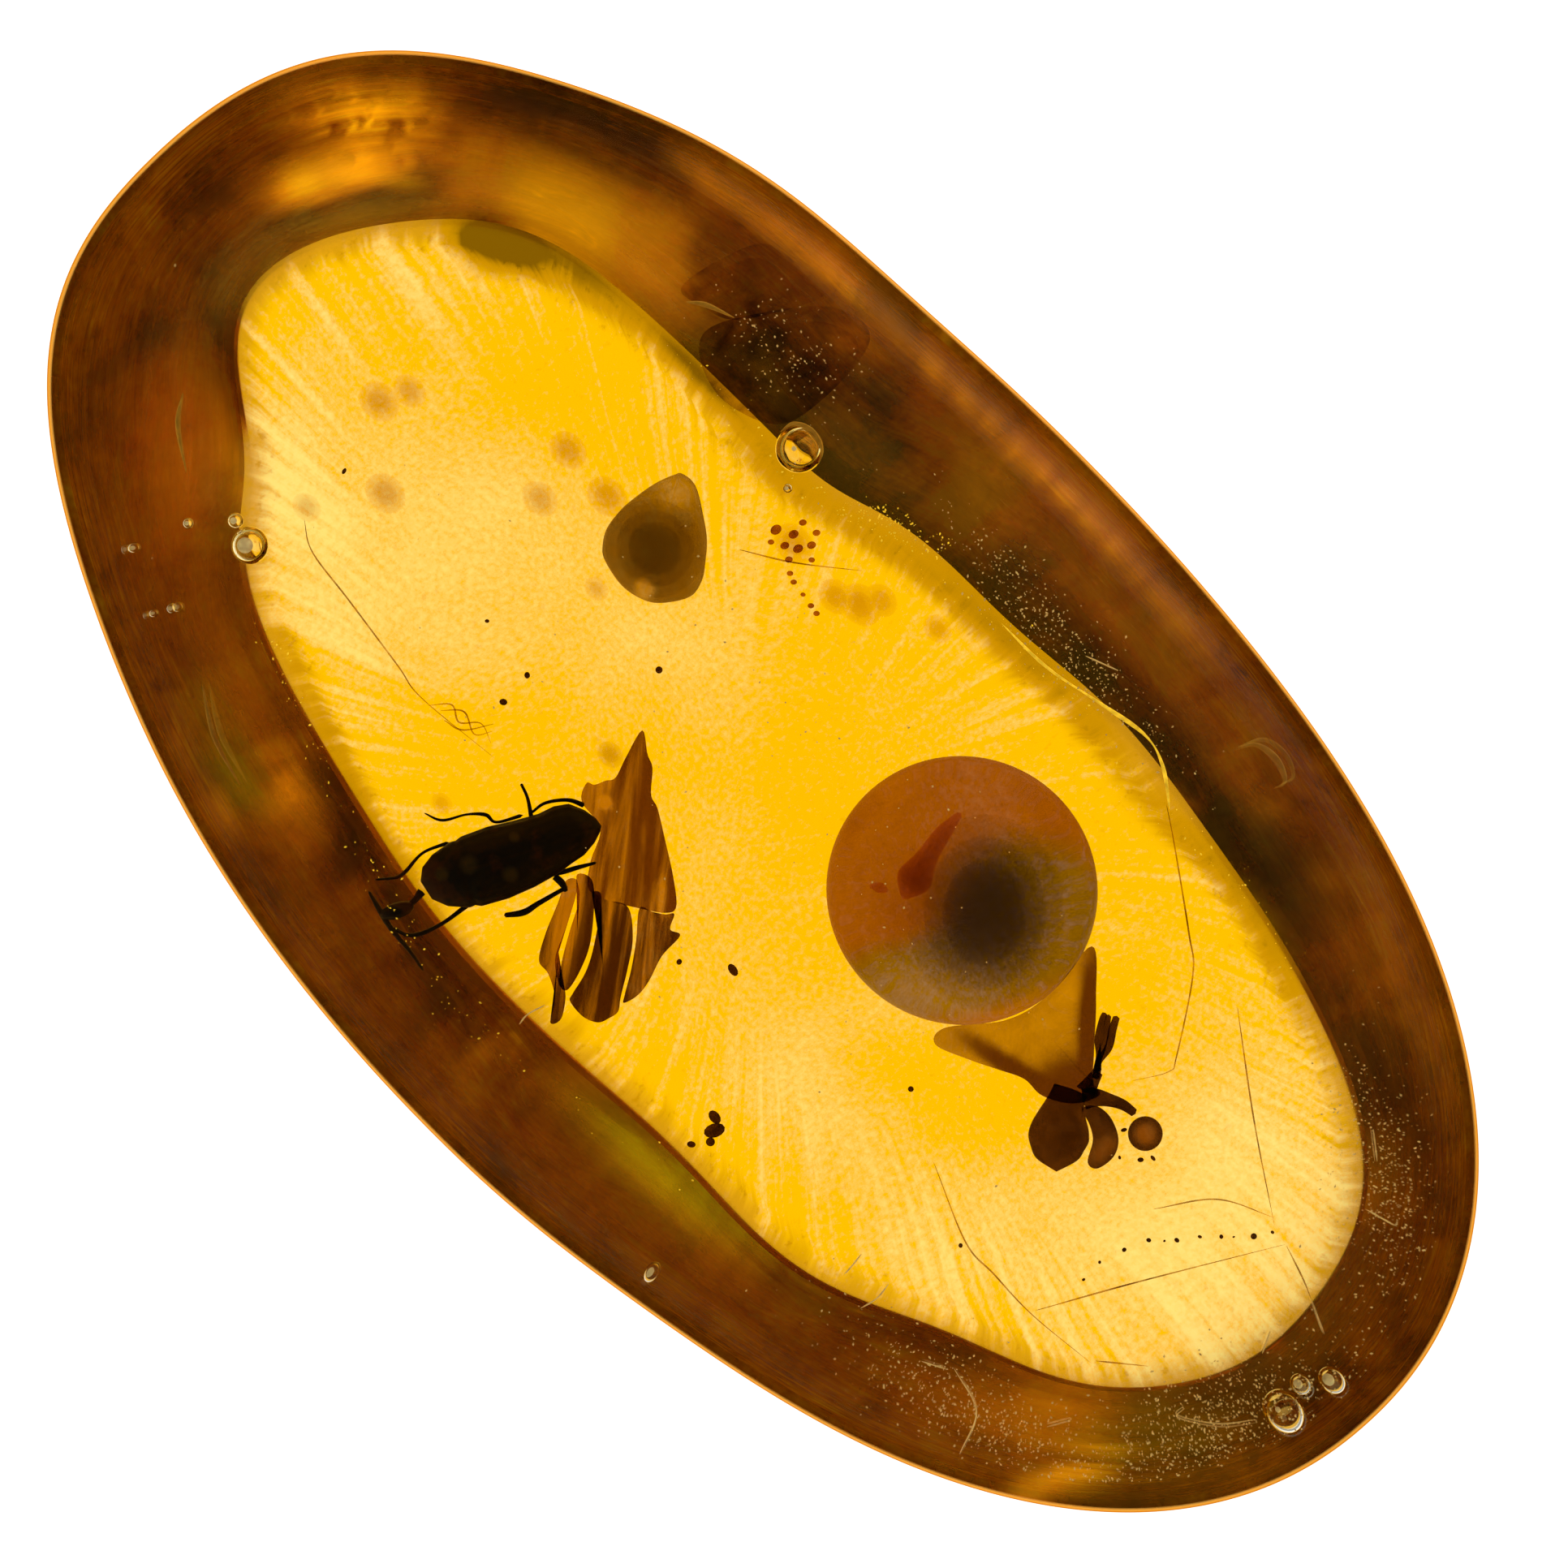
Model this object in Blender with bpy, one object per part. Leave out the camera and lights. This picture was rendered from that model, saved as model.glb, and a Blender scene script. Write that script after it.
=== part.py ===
# Insect in amber: a polished oval nugget of clear fossil resin, in one piece.
# Underneath is one flat ground face, which it lies on. Sloping sides rise from it to the
# girdle, the widest line around the nugget, and a low dome closes the top.
# Metres, +Z up. The origin is in the middle of the footprint, in the plane of the flat face.

import bpy
import numpy as np

MM = 0.001

# Overall size
LENGTH = 26.0 * MM
WIDTH = 13.9 * MM
HEIGHT = 7.8 * MM

# Outline seen from above: a superellipse with soft swellings (bearing, spread, height)
OUTLINE_HALF_LENGTH = 12.3 * MM
OUTLINE_HALF_WIDTH = 6.93 * MM
OUTLINE_POWER = 2.14
OUTLINE_SWELLINGS = (
    (142, 17, 0.50 * MM),
    (166, 15, 0.81 * MM),
    (-170, 15, 0.70 * MM),
    (9, 37, 0.72 * MM),
    (-51, 21, -0.15 * MM),
)

# The girdle is higher along one side than along the other
GIRDLE_HEIGHT = 4.2 * MM
GIRDLE_RISE = 0.45 * MM
GIRDLE_RISE_BEARING = -110

# Flat ground face: an ellipse with soft swellings (angle, spread, share of the radius)
FACE_CENTRE = (0.16 * MM, -0.24 * MM)
FACE_LENGTH = 20.0 * MM
FACE_WIDTH = 7.15 * MM
FACE_SWELLINGS = (
    (130, 26, 0.10),
    (110, 11, -0.15),
    (43, 26, 0.14),
    (-154, 14, -0.06),
)
FACE_EDGE_SOFTNESS = 0.12 * MM

# Curves of the sides and the dome
SIDE_POWER = 1.9
DOME_INNER_POWER = 2.3
DOME_OUTER_POWER = 2.1

# Faint waves that hand polishing left on the dome (radians per metre along X and Y, phase, height)
POLISH_WAVES = (
    (900, 1300, 0.7, 0.030 * MM),
    (-550, 1050, 2.1, 0.020 * MM),
    (1700, -600, 4.0, 0.012 * MM),
)

# Facets, and the steps used to measure the outline's own length and width
FACETS_AROUND = 96
OUTLINE_STEPS = 720
EDGE_RINGS = 3
SIDE_RINGS = 10
DOME_RINGS = 17

AMBER_COLOUR = (0.80, 0.42, 0.03, 1.0)
AMBER_ROUGHNESS = 0.05
AMBER_IOR = 1.54
SHARP_DEGREES = 30


def swelling(angle, centre_degrees, spread_degrees):
    # A bell curve around one direction
    apart = (np.degrees(angle) - centre_degrees + 180) % 360 - 180
    return np.exp(-((apart / spread_degrees) ** 2))


def outline_at(bearing):
    # Superellipse radius plus the swellings, as x and y
    along = np.abs(np.cos(bearing) / OUTLINE_HALF_LENGTH) ** OUTLINE_POWER
    across = np.abs(np.sin(bearing) / OUTLINE_HALF_WIDTH) ** OUTLINE_POWER
    radius = (along + across) ** (-1 / OUTLINE_POWER)
    for centre, spread, height in OUTLINE_SWELLINGS:
        radius = radius + height * swelling(bearing, centre, spread)
    return radius * np.cos(bearing), radius * np.sin(bearing)


def girdle(angle):
    # The outline fitted to the overall length and width, with the girdle's height
    all_round = np.linspace(0, 2 * np.pi, OUTLINE_STEPS, endpoint=False)
    bearing = np.arctan2(WIDTH * np.sin(angle), LENGTH * np.cos(angle))
    fitted = []
    for place, reach, size in zip(outline_at(bearing), outline_at(all_round), (LENGTH, WIDTH)):
        middle = (reach.min() + reach.max()) / 2
        fitted.append((place - middle) * size / np.ptp(reach))
    height = GIRDLE_HEIGHT + GIRDLE_RISE * np.cos(bearing - np.radians(GIRDLE_RISE_BEARING))
    return fitted[0], fitted[1], height


def face_edge(angle):
    # The ellipse of the flat face, swollen and drawn in around its centre
    share = 1.0
    for centre, spread, swell in FACE_SWELLINGS:
        share = share + swell * swelling(angle, centre, spread)
    x = FACE_CENTRE[0] + FACE_LENGTH / 2 * np.cos(angle) * share
    y = FACE_CENTRE[1] + FACE_WIDTH / 2 * np.sin(angle) * share
    return x, y


def side_rings(angle):
    # From just inside the face's edge, round the soft edge, then up the sloping side
    face_x, face_y = face_edge(angle)
    girdle_x, girdle_y, girdle_z = girdle(angle)
    run_x = girdle_x - face_x
    run_y = girdle_y - face_y
    run = np.hypot(run_x, run_y)
    first_slope = girdle_z / (SIDE_POWER * run)
    rings = []
    for out in np.linspace(-FACE_EDGE_SOFTNESS, FACE_EDGE_SOFTNESS, EDGE_RINGS, endpoint=False):
        rise = first_slope * (out + FACE_EDGE_SOFTNESS) ** 2 / (4 * FACE_EDGE_SOFTNESS)
        rings.append((face_x + run_x * out / run, face_y + run_y * out / run, rise))
    lowest = 1 - (1 - FACE_EDGE_SOFTNESS / run) ** (1 / SIDE_POWER)
    for step in np.sin(np.linspace(0, np.pi / 2, SIDE_RINGS, endpoint=False)):
        up = lowest + (1 - lowest) * step
        out = 1 - (1 - up) ** SIDE_POWER
        rings.append((face_x + run_x * out, face_y + run_y * out, girdle_z * up))
    return rings


def dome_rings(angle):
    # From the girdle in towards the top, as a superelliptic dome with the polishing waves
    girdle_x, girdle_y, girdle_z = girdle(angle)
    rings = []
    for out in np.cos(np.linspace(0, np.pi / 2, DOME_RINGS, endpoint=False)):
        share = (1 - out**DOME_INNER_POWER) ** (1 / DOME_OUTER_POWER)
        x = girdle_x * out
        y = girdle_y * out
        rings.append((x, y, girdle_z + (HEIGHT - girdle_z + polish(x, y)) * share))
    return rings


def polish(x, y):
    # Sum of long shallow waves, each one worn down from its own crests
    return sum(height * (np.sin(x * along + y * across + phase) - 1)
               for along, across, phase, height in POLISH_WAVES)


def close_rings(rings, crown):
    # Quads between neighbouring rings, one flat face below the first and a fan over the last
    around = len(rings[0][0])
    points = np.concatenate([np.stack(ring, axis=-1) for ring in rings] + [crown])
    index = np.arange(len(rings) * around).reshape(len(rings), around)
    turned = np.roll(index, -1, axis=1)
    quads = np.stack([index[:-1], turned[:-1], turned[1:], index[1:]], axis=-1).reshape(-1, 4)
    top = np.full(around, len(points) - 1)
    fan = np.stack([index[-1], turned[-1], top], axis=-1)
    underside = index[0][::-1]
    return points.tolist(), [underside.tolist()] + quads.tolist() + fan.tolist()


def amber_material():
    material = bpy.data.materials.new("amber")
    material.use_nodes = True
    shader = material.node_tree.nodes["Principled BSDF"]
    shader.inputs["Base Color"].default_value = AMBER_COLOUR
    shader.inputs["Roughness"].default_value = AMBER_ROUGHNESS
    shader.inputs["Metallic"].default_value = 0.0
    shader.inputs["IOR"].default_value = AMBER_IOR
    shader.inputs["Transmission Weight"].default_value = 1.0
    return material


def build_amber():
    angle = np.linspace(0, 2 * np.pi, FACETS_AROUND, endpoint=False)
    crown = np.array([[0, 0, HEIGHT + polish(0, 0)]])
    points, faces = close_rings(side_rings(angle) + dome_rings(angle), crown)
    mesh = bpy.data.meshes.new("amber")
    mesh.from_pydata(points, [], faces)
    mesh.shade_smooth()
    mesh.set_sharp_from_angle(angle=np.radians(SHARP_DEGREES))
    mesh.materials.append(amber_material())
    amber = bpy.data.objects.new("amber", mesh)
    bpy.context.collection.objects.link(amber)


for old in list(bpy.data.objects):
    bpy.data.objects.remove(old)
build_amber()
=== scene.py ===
import bpy
import numpy as np
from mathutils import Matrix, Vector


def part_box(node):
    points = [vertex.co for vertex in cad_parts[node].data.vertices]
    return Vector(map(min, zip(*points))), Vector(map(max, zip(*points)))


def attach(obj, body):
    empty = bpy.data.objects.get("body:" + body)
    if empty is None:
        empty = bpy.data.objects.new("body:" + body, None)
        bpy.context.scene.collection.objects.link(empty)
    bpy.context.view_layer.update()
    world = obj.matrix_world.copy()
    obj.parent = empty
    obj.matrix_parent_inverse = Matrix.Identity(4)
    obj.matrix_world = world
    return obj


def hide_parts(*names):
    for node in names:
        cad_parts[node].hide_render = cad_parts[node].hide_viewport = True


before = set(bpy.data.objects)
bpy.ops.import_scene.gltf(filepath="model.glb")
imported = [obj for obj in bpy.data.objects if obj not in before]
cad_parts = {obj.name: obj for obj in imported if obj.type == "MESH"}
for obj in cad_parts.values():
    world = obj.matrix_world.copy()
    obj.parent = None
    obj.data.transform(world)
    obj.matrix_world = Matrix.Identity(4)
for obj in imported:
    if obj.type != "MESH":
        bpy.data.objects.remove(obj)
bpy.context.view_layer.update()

lowCorner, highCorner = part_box("amber")
mm = 0.001  # every shape below is worked out in millimetres
chance = np.random.default_rng(31)


class Wire:
    # one output socket; sums and products of wires and numbers add Math nodes
    def __init__(self, shop, socket):
        self.shop = shop
        self.socket = socket

    def maths(self, operation, *values):
        return self.shop.node("ShaderNodeMath", {"operation": operation}, dict(enumerate(values)))

    def __add__(self, other):
        return self.maths("ADD", self, other)

    def __radd__(self, other):
        return self.maths("ADD", other, self)

    def __sub__(self, other):
        return self.maths("SUBTRACT", self, other)

    def __rsub__(self, other):
        return self.maths("SUBTRACT", other, self)

    def __mul__(self, other):
        return self.maths("MULTIPLY", self, other)

    def __rmul__(self, other):
        return self.maths("MULTIPLY", other, self)


class Shop:
    # one material and its nodes; a noise is its scale, detail, roughness and distortion
    def __init__(self, name):
        self.material = bpy.data.materials.new(name)
        self.material.use_nodes = True
        self.material.cycles.emission_sampling = "NONE"
        self.tree = self.material.node_tree
        self.tree.nodes.clear()

    def node(self, kind, settings=None, inputs=None, output=0):
        made = self.tree.nodes.new(kind)
        for name, value in (settings or {}).items():
            if name == "stops":
                for stop in value[2:]:
                    made.color_ramp.elements.new(stop[0])
                for element, stop in zip(made.color_ramp.elements, value):
                    element.position = stop[0]
                    element.color = (*stop[1], 1)
            else:
                setattr(made, name, value)
        for name, value in (inputs or {}).items():
            if isinstance(value, Wire):
                self.tree.links.new(value.socket, made.inputs[name])
            else:
                made.inputs[name].default_value = value
        return Wire(self, made.outputs[output]) if made.outputs else made

    def place(self):
        return self.node("ShaderNodeTexCoord", output="Object")

    def attribute(self, name, output="Fac"):
        return self.node("ShaderNodeAttribute", {"attribute_name": name}, output=output)

    def parts(self, vector):
        split = self.node("ShaderNodeSeparateXYZ", inputs={0: vector})
        sockets = split.socket.node.outputs
        return [Wire(self, socket) for socket in sockets]

    def noise(self, where, scale, detail=2, roughness=0.5, distortion=0.0):
        return self.node("ShaderNodeTexNoise", inputs={
            "Vector": where, "Scale": scale, "Detail": detail,
            "Roughness": roughness, "Distortion": distortion})

    def cells(self, where, scale):
        return self.node("ShaderNodeTexVoronoi", inputs={"Vector": where, "Scale": scale})

    def stretch(self, where, scale):
        return self.node("ShaderNodeMapping", inputs={"Vector": where, "Scale": scale})

    def fibres(self, where, length, degrees):
        # space drawn out by length along one level direction, so that noise turns into fibres
        return self.node("ShaderNodeMapping", {"vector_type": "TEXTURE"}, {
            "Vector": where, "Rotation": (0, 0, np.radians(degrees)), "Scale": (length, 1, 1)})

    def ramp(self, value, stops):
        return self.node("ShaderNodeValToRGB", {"stops": stops}, {"Fac": value})

    def step(self, value, low, high):
        # 0 below low, 1 above high, and a smooth ramp between
        return self.node("ShaderNodeMapRange", {"interpolation_type": "SMOOTHSTEP"},
                         {"Value": value, "From Min": low, "From Max": high})

    def mix(self, factor, first, second, blend="MIX"):
        return self.node("ShaderNodeMix", {"data_type": "RGBA", "blend_type": blend},
                         {0: factor, 6: first, 7: second}, output=2)

    def distance(self, where, centre):
        return self.node("ShaderNodeVectorMath", {"operation": "DISTANCE"},
                         {0: where, 1: centre}, output="Value")

    def bump(self, height, strength, depth):
        return self.node("ShaderNodeBump", inputs={
            "Height": height, "Strength": strength, "Distance": depth})

    def absorb(self, colour, density):
        return self.node("ShaderNodeVolumeAbsorption", inputs={"Color": colour, "Density": density})

    def principled(self, **inputs):
        named = {name.replace("_", " "): value for name, value in inputs.items()}
        return self.node("ShaderNodeBsdfPrincipled", inputs=named)

    def close(self, surface, volume=None):
        ends = {"Surface": surface}
        if volume:
            ends["Volume"] = volume
        self.node("ShaderNodeOutputMaterial", inputs=ends)
        return self.material


# the nugget's own curves

nugget = {
    "length": (highCorner.x - lowCorner.x) / mm, "width": (highCorner.y - lowCorner.y) / mm, "height": 7.8,
    "outlineHalfLength": 12.3, "outlineHalfWidth": 6.93, "outlinePower": 2.14,
    "outlineSwellings": ((142, 17, 0.5), (166, 15, 0.81), (-170, 15, 0.7), (9, 37, 0.72), (-51, 21, -0.15)),
    "girdleHeight": 4.2, "girdleRise": 0.45, "girdleRiseBearing": -110, "faceCentre": (0.16, -0.24),
    "faceLength": 20.0, "faceWidth": 7.15,
    "faceSwellings": ((130, 26, 0.1), (110, 11, -0.15), (43, 26, 0.14), (-154, 14, -0.06)),
    "faceEdgeSoftness": 0.12, "faceEdgeTravel": 0.01, "sidePower": 1.9, "domeInnerPower": 2.3,
    "domeOuterPower": 2.1,
    "polishWaves": ((0.9, 1.3, 0.7, 0.03), (-0.55, 1.05, 2.1, 0.02), (1.7, -0.6, 4.0, 0.012)),
    "around": 420, "faceRings": 46, "edgeRings": 7, "sideRings": 50, "domeRings": 96,
}


def swelling(angle, centre, spread):
    # bell curve of the angle's distance from the centre, in degrees
    apart = (np.degrees(angle) - centre + 180) % 360 - 180
    return np.exp(-(apart / spread) ** 2)


def outlineAt(bearing):
    # superellipse radius plus bell-shaped swellings, as x and y
    power = nugget["outlinePower"]
    along = np.abs(np.cos(bearing) / nugget["outlineHalfLength"]) ** power
    across = np.abs(np.sin(bearing) / nugget["outlineHalfWidth"]) ** power
    radius = (along + across) ** (-1 / power)
    for centre, spread, height in nugget["outlineSwellings"]:
        radius = radius + height * swelling(bearing, centre, spread)
    return radius * np.cos(bearing), radius * np.sin(bearing)


def girdle(angle):
    # the outline fitted to the length and width, and a height that leans to one side
    bearing = np.arctan2(nugget["width"] * np.sin(angle), nugget["length"] * np.cos(angle))
    allRound = np.linspace(0, 2 * np.pi, 720, endpoint=False)
    fitted = []
    sizes = nugget["length"], nugget["width"]
    for place, reach, size in zip(outlineAt(bearing), outlineAt(allRound), sizes):
        fitted.append((place - (reach.min() + reach.max()) / 2) * size / np.ptp(reach))
    lean = np.cos(bearing - np.radians(nugget["girdleRiseBearing"]))
    return fitted[0], fitted[1], nugget["girdleHeight"] + nugget["girdleRise"] * lean


def faceEdge(angle):
    # an ellipse whose radius is swollen and drawn in by bell curves
    share = 1.0
    for centre, spread, swell in nugget["faceSwellings"]:
        share = share + swell * swelling(angle, centre, spread)
    x = nugget["faceCentre"][0] + nugget["faceLength"] / 2 * np.cos(angle) * share
    y = nugget["faceCentre"][1] + nugget["faceWidth"] / 2 * np.sin(angle) * share
    return x, y


def polish(x, y):
    # sum of long sine waves, each worn down from its crests
    return sum(height * (np.sin(x * along + y * across + phase) - 1)
               for along, across, phase, height in nugget["polishWaves"])


girdleAngles = np.linspace(-np.pi, np.pi, 1440, endpoint=False)
girdleX, girdleY, girdleZ = girdle(girdleAngles)
girdleBearing = np.arctan2(girdleY, girdleX)


def domeHeight(x, y):
    # superelliptic dome: girdle height plus the rise times (1 - share^inner)^(1 / outer)
    bearing = np.arctan2(y, x)
    reach = np.interp(bearing, girdleBearing, np.hypot(girdleX, girdleY), period=2 * np.pi)
    rim = np.interp(bearing, girdleBearing, girdleZ, period=2 * np.pi)
    out = np.clip(np.hypot(x, y) / reach, 0, 0.9999)
    rise = (1 - out ** nugget["domeInnerPower"]) ** (1 / nugget["domeOuterPower"])
    return rim + (nugget["height"] - rim + polish(x, y)) * rise


def nuggetRings():
    # rings of points from the middle of the flat face out to its edge, round the soft edge,
    # up the side and in over the dome, with a travel value of 0 to 1, 1 to 2 and 2 to 3, and
    # the cosine and sine of the share of the face's edge passed so far
    angle = np.linspace(0, 2 * np.pi, nugget["around"], endpoint=False)
    faceX, faceY = faceEdge(angle)
    rimX, rimY, rimZ = girdle(angle)
    runX, runY = rimX - faceX, rimY - faceY
    run = np.hypot(runX, runY)
    soft, power, turned = nugget["faceEdgeSoftness"], nugget["sidePower"], nugget["faceEdgeTravel"]
    middleX, middleY = nugget["faceCentre"]
    rings, travels = [], []
    for share in np.linspace(0, 1, nugget["faceRings"], endpoint=False):
        reach = share * (1 - soft / run)
        rings.append((middleX + (faceX - middleX) * reach, middleY + (faceY - middleY) * reach, 0 * angle))
        travels.append(share)
    firstSlope = rimZ / (power * run)
    for out in np.linspace(-soft, soft, nugget["edgeRings"], endpoint=False):
        rise = firstSlope * (out + soft) ** 2 / (4 * soft)
        rings.append((faceX + runX * out / run, faceY + runY * out / run, rise))
        travels.append(1 + out / soft * turned)
    lowest = 1 - (1 - soft / run) ** (1 / power)
    for step in np.sin(np.linspace(0, np.pi / 2, nugget["sideRings"], endpoint=False)):
        up = lowest + (1 - lowest) * step
        out = 1 - (1 - up) ** power
        rings.append((faceX + runX * out, faceY + runY * out, rimZ * up))
        travels.append(1 + turned + (1 - turned) * step)
    for turn in np.linspace(0, np.pi / 2, nugget["domeRings"] + 1):
        out = np.cos(turn)
        rise = (1 - out ** nugget["domeInnerPower"]) ** (1 / nugget["domeOuterPower"])
        x, y = rimX * out, rimY * out
        rings.append((x, y, rimZ + (nugget["height"] - rimZ + polish(x, y)) * rise))
        travels.append(2 + turn / (np.pi / 2))
    grid = np.stack([np.stack(ring, axis=-1) for ring in rings])
    strides = np.hypot(np.diff(faceX, append=faceX[:1]), np.diff(faceY, append=faceY[:1]))
    passed = 2 * np.pi * np.cumsum(strides) / strides.sum()
    sweep = np.zeros_like(grid)
    sweep[..., 0], sweep[..., 1] = np.cos(passed), np.sin(passed)
    sweep[..., 2] = np.array(travels)[:, None]
    return grid, sweep


def edgeDistance(grid, sweep):
    # level distance from the flat face's edge: above 0 on the face, below 0 on the side
    edge = np.stack(faceEdge(np.linspace(0, 2 * np.pi, 500, endpoint=False)), axis=-1)
    away = np.full(grid.shape[:2], np.inf)
    for x, y in edge:
        away = np.minimum(away, np.hypot(grid[..., 0] - x, grid[..., 1] - y))
    return np.where(sweep[..., 2] < 1, away, -away)


# lines of sight through the dome

view = {
    # degrees and millimetres
    "turn": 46.0, "centre": (0.163, 0.368), "frameWidth": 23.236, "lens": 180.0, "sensor": 36.0,
    "level": 4.2, "sightSteps": 30, "slopeReach": 0.02, "nudges": 12, "nudgeShare": 0.7,
}
eyeHeight = view["level"] + view["frameWidth"] * view["lens"] / view["sensor"]
eye = np.array([*view["centre"], eyeHeight])


def sink(points):
    # moves points that are placed as seen from the eye to where they really lie: a straight
    # line from the eye through the point's x and y at the level plane meets the dome, bends
    # there by Snell's law, and is followed to the point's own height
    seen = np.stack([points[..., 0], points[..., 1], np.full(points.shape[:-1], view["level"])], axis=-1)
    ray = seen - eye
    ray = ray / np.linalg.norm(ray, axis=-1, keepdims=True)
    x, y = points[..., 0], points[..., 1]
    for _ in range(view["sightSteps"]):
        run = (domeHeight(x, y) - eye[2]) / ray[..., 2]
        x, y = (x + eye[0] + run * ray[..., 0]) / 2, (y + eye[1] + run * ray[..., 1]) / 2
    near = view["slopeReach"]
    slopeX = (domeHeight(x + near, y) - domeHeight(x - near, y)) / (2 * near)
    slopeY = (domeHeight(x, y + near) - domeHeight(x, y - near)) / (2 * near)
    normal = np.stack([-slopeX, -slopeY, np.ones_like(slopeX)], axis=-1)
    normal = normal / np.linalg.norm(normal, axis=-1, keepdims=True)
    facing = -(normal * ray).sum(axis=-1, keepdims=True)
    ratio = 1 / amber["ior"]
    bent = ratio * ray + (ratio * facing - np.sqrt(1 - ratio**2 * (1 - facing**2))) * normal
    down = (points[..., 2] - domeHeight(x, y)) / bent[..., 2]
    return np.stack([x + down * bent[..., 0], y + down * bent[..., 1], points[..., 2]], axis=-1)


def unsink(points):
    # where points inside show up: a guess is nudged until sink() carries it onto the point
    guess = points.copy()
    for _ in range(view["nudges"]):
        guess[..., :2] += view["nudgeShare"] * (points - sink(guess))[..., :2]
    return guess


def spotField(points, spots):
    # sum of soft elliptical spots: amount times exp(-(r^2)^1.5), r measured in half lengths and
    # half widths; each spot is x, y, half length, half width, turn in degrees and amount
    total = np.zeros(points.shape[:-1])
    for x, y, halfLength, halfWidth, turn, amount in spots:
        angle = np.radians(turn)
        dx, dy = points[..., 0] - x, points[..., 1] - y
        along = (dx * np.cos(angle) + dy * np.sin(angle)) / halfLength
        across = (dy * np.cos(angle) - dx * np.sin(angle)) / halfWidth
        total = total + amount * np.exp(-(along**2 + across**2) ** 1.5)
    return total


def lineField(points, lines):
    # sum of soft lines: amount times exp(-(distance / width)^2), thinning out towards both ends;
    # each line is a path of x and y places, a width and an amount
    total = np.zeros(points.shape[:-1])
    count, thinning = 48, 0.35
    strengths = np.sin(np.pi * (np.arange(count) + 0.5) / count) ** thinning
    for path, width, amount in lines:
        best = np.zeros_like(total)
        for (x, y), strength in zip(smoothPath(path, count), strengths):
            away = np.hypot(points[..., 0] - x, points[..., 1] - y) / width
            best = np.maximum(best, strength * np.exp(-away**2))
        total = total + amount * best
    return total


# mesh making

def closedFaces(rows, around):
    # quads between rings, and a fan at each end; the first and last rings are one point each
    index = 1 + np.arange((rows - 2) * around).reshape(rows - 2, around)
    turned = np.roll(index, -1, axis=1)
    quads = np.stack([index[:-1], turned[:-1], turned[1:], index[1:]], axis=-1).reshape(-1, 4)
    last = 1 + (rows - 2) * around
    lowFan = np.stack([turned[0], index[0], np.zeros(around, int)], axis=-1)
    highFan = np.stack([index[-1], turned[-1], np.full(around, last)], axis=-1)
    return quads, np.concatenate([lowFan, highFan])


def closedShape(grid):
    # a grid of rings whose first and last rings shrink to a point, faces outwards
    rows, around = grid.shape[:2]
    points = np.concatenate([grid[:1].mean(axis=1), grid[1:-1].reshape(-1, 3), grid[-1:].mean(axis=1)])
    quads, fans = closedFaces(rows, around)
    corners = np.concatenate([quads[:, :3], quads[:, [0, 2, 3]], fans])
    a, b, c = (points[corners[:, i]] for i in range(3))
    if np.einsum("ij,ij->i", a, np.cross(b, c)).sum() < 0:
        quads, fans = quads[:, ::-1], fans[:, ::-1]
    return points, quads.tolist() + fans.tolist()


def closedValues(values):
    # a value for each point of closedShape
    ends = values[:1].mean(axis=1), values[-1:].mean(axis=1)
    return np.concatenate([ends[0], values[1:-1].reshape(-1, *values.shape[2:]), ends[1]])


def wrappedShape(grid):
    # a grid closed both ways round, faces outwards
    rows, around = grid.shape[:2]
    index = np.arange(rows * around).reshape(rows, around)
    turned, lifted = np.roll(index, -1, axis=1), np.roll(index, -1, axis=0)
    quads = np.stack([index, turned, np.roll(turned, -1, axis=0), lifted], axis=-1).reshape(-1, 4)
    points = grid.reshape(-1, 3)
    a, b, c = (points[quads[:, i]] for i in range(3))
    if np.einsum("ij,ij->i", a, np.cross(b, c)).sum() < 0:
        quads = quads[:, ::-1]
    return points, quads.tolist()


def joinShapes(shapes):
    # one list of points and faces out of several
    points, faces, start = [], [], 0
    for shapePoints, shapeFaces in shapes:
        points.append(shapePoints)
        faces += [[corner + start for corner in face] for face in shapeFaces]
        start += len(shapePoints)
    return np.concatenate(points), faces


def cubic(a, b, c, d, t):
    # Catmull-Rom span from b to c, whose end slopes join the corners on either side
    return b + t * (c - a + t * (2 * a - 5 * b + 4 * c - d + t * (3 * b - a - 3 * c + d))) / 2


def smoothPath(corners, count):
    # a row of cubic spans through the corners
    corners = np.array(corners, float)
    ends = np.concatenate([2 * corners[:1] - corners[1:2], corners, 2 * corners[-1:] - corners[-2:-1]])
    spot = np.linspace(0, len(corners) - 1, count)
    span = np.minimum(spot.astype(int), len(corners) - 2)
    t = (spot - span)[:, None]
    return cubic(*(ends[span + i] for i in range(4)), t)


def smoothLoop(corners, count):
    # the same curve, closed
    corners = np.array(corners, float)
    spot = np.linspace(0, len(corners), count, endpoint=False)
    span = spot.astype(int)
    t = (spot - span)[:, None]
    return cubic(*(corners[(span + i) % len(corners)] for i in range(-1, 3)), t)


def ballGrid(centre, radii, rows=24, around=32, turn=0.0):
    # ellipsoid by latitude and longitude, turned about the upright axis
    down = np.linspace(-np.pi / 2, np.pi / 2, rows)[:, None]
    circle = np.linspace(0, 2 * np.pi, around, endpoint=False)[None, :]
    x = radii[0] * np.cos(down) * np.cos(circle)
    y = radii[1] * np.cos(down) * np.sin(circle)
    z = radii[2] * np.sin(down) + 0 * circle
    angle = np.radians(turn)
    return np.stack([centre[0] + x * np.cos(angle) - y * np.sin(angle),
                     centre[1] + x * np.sin(angle) + y * np.cos(angle), centre[2] + z], axis=-1)


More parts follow.
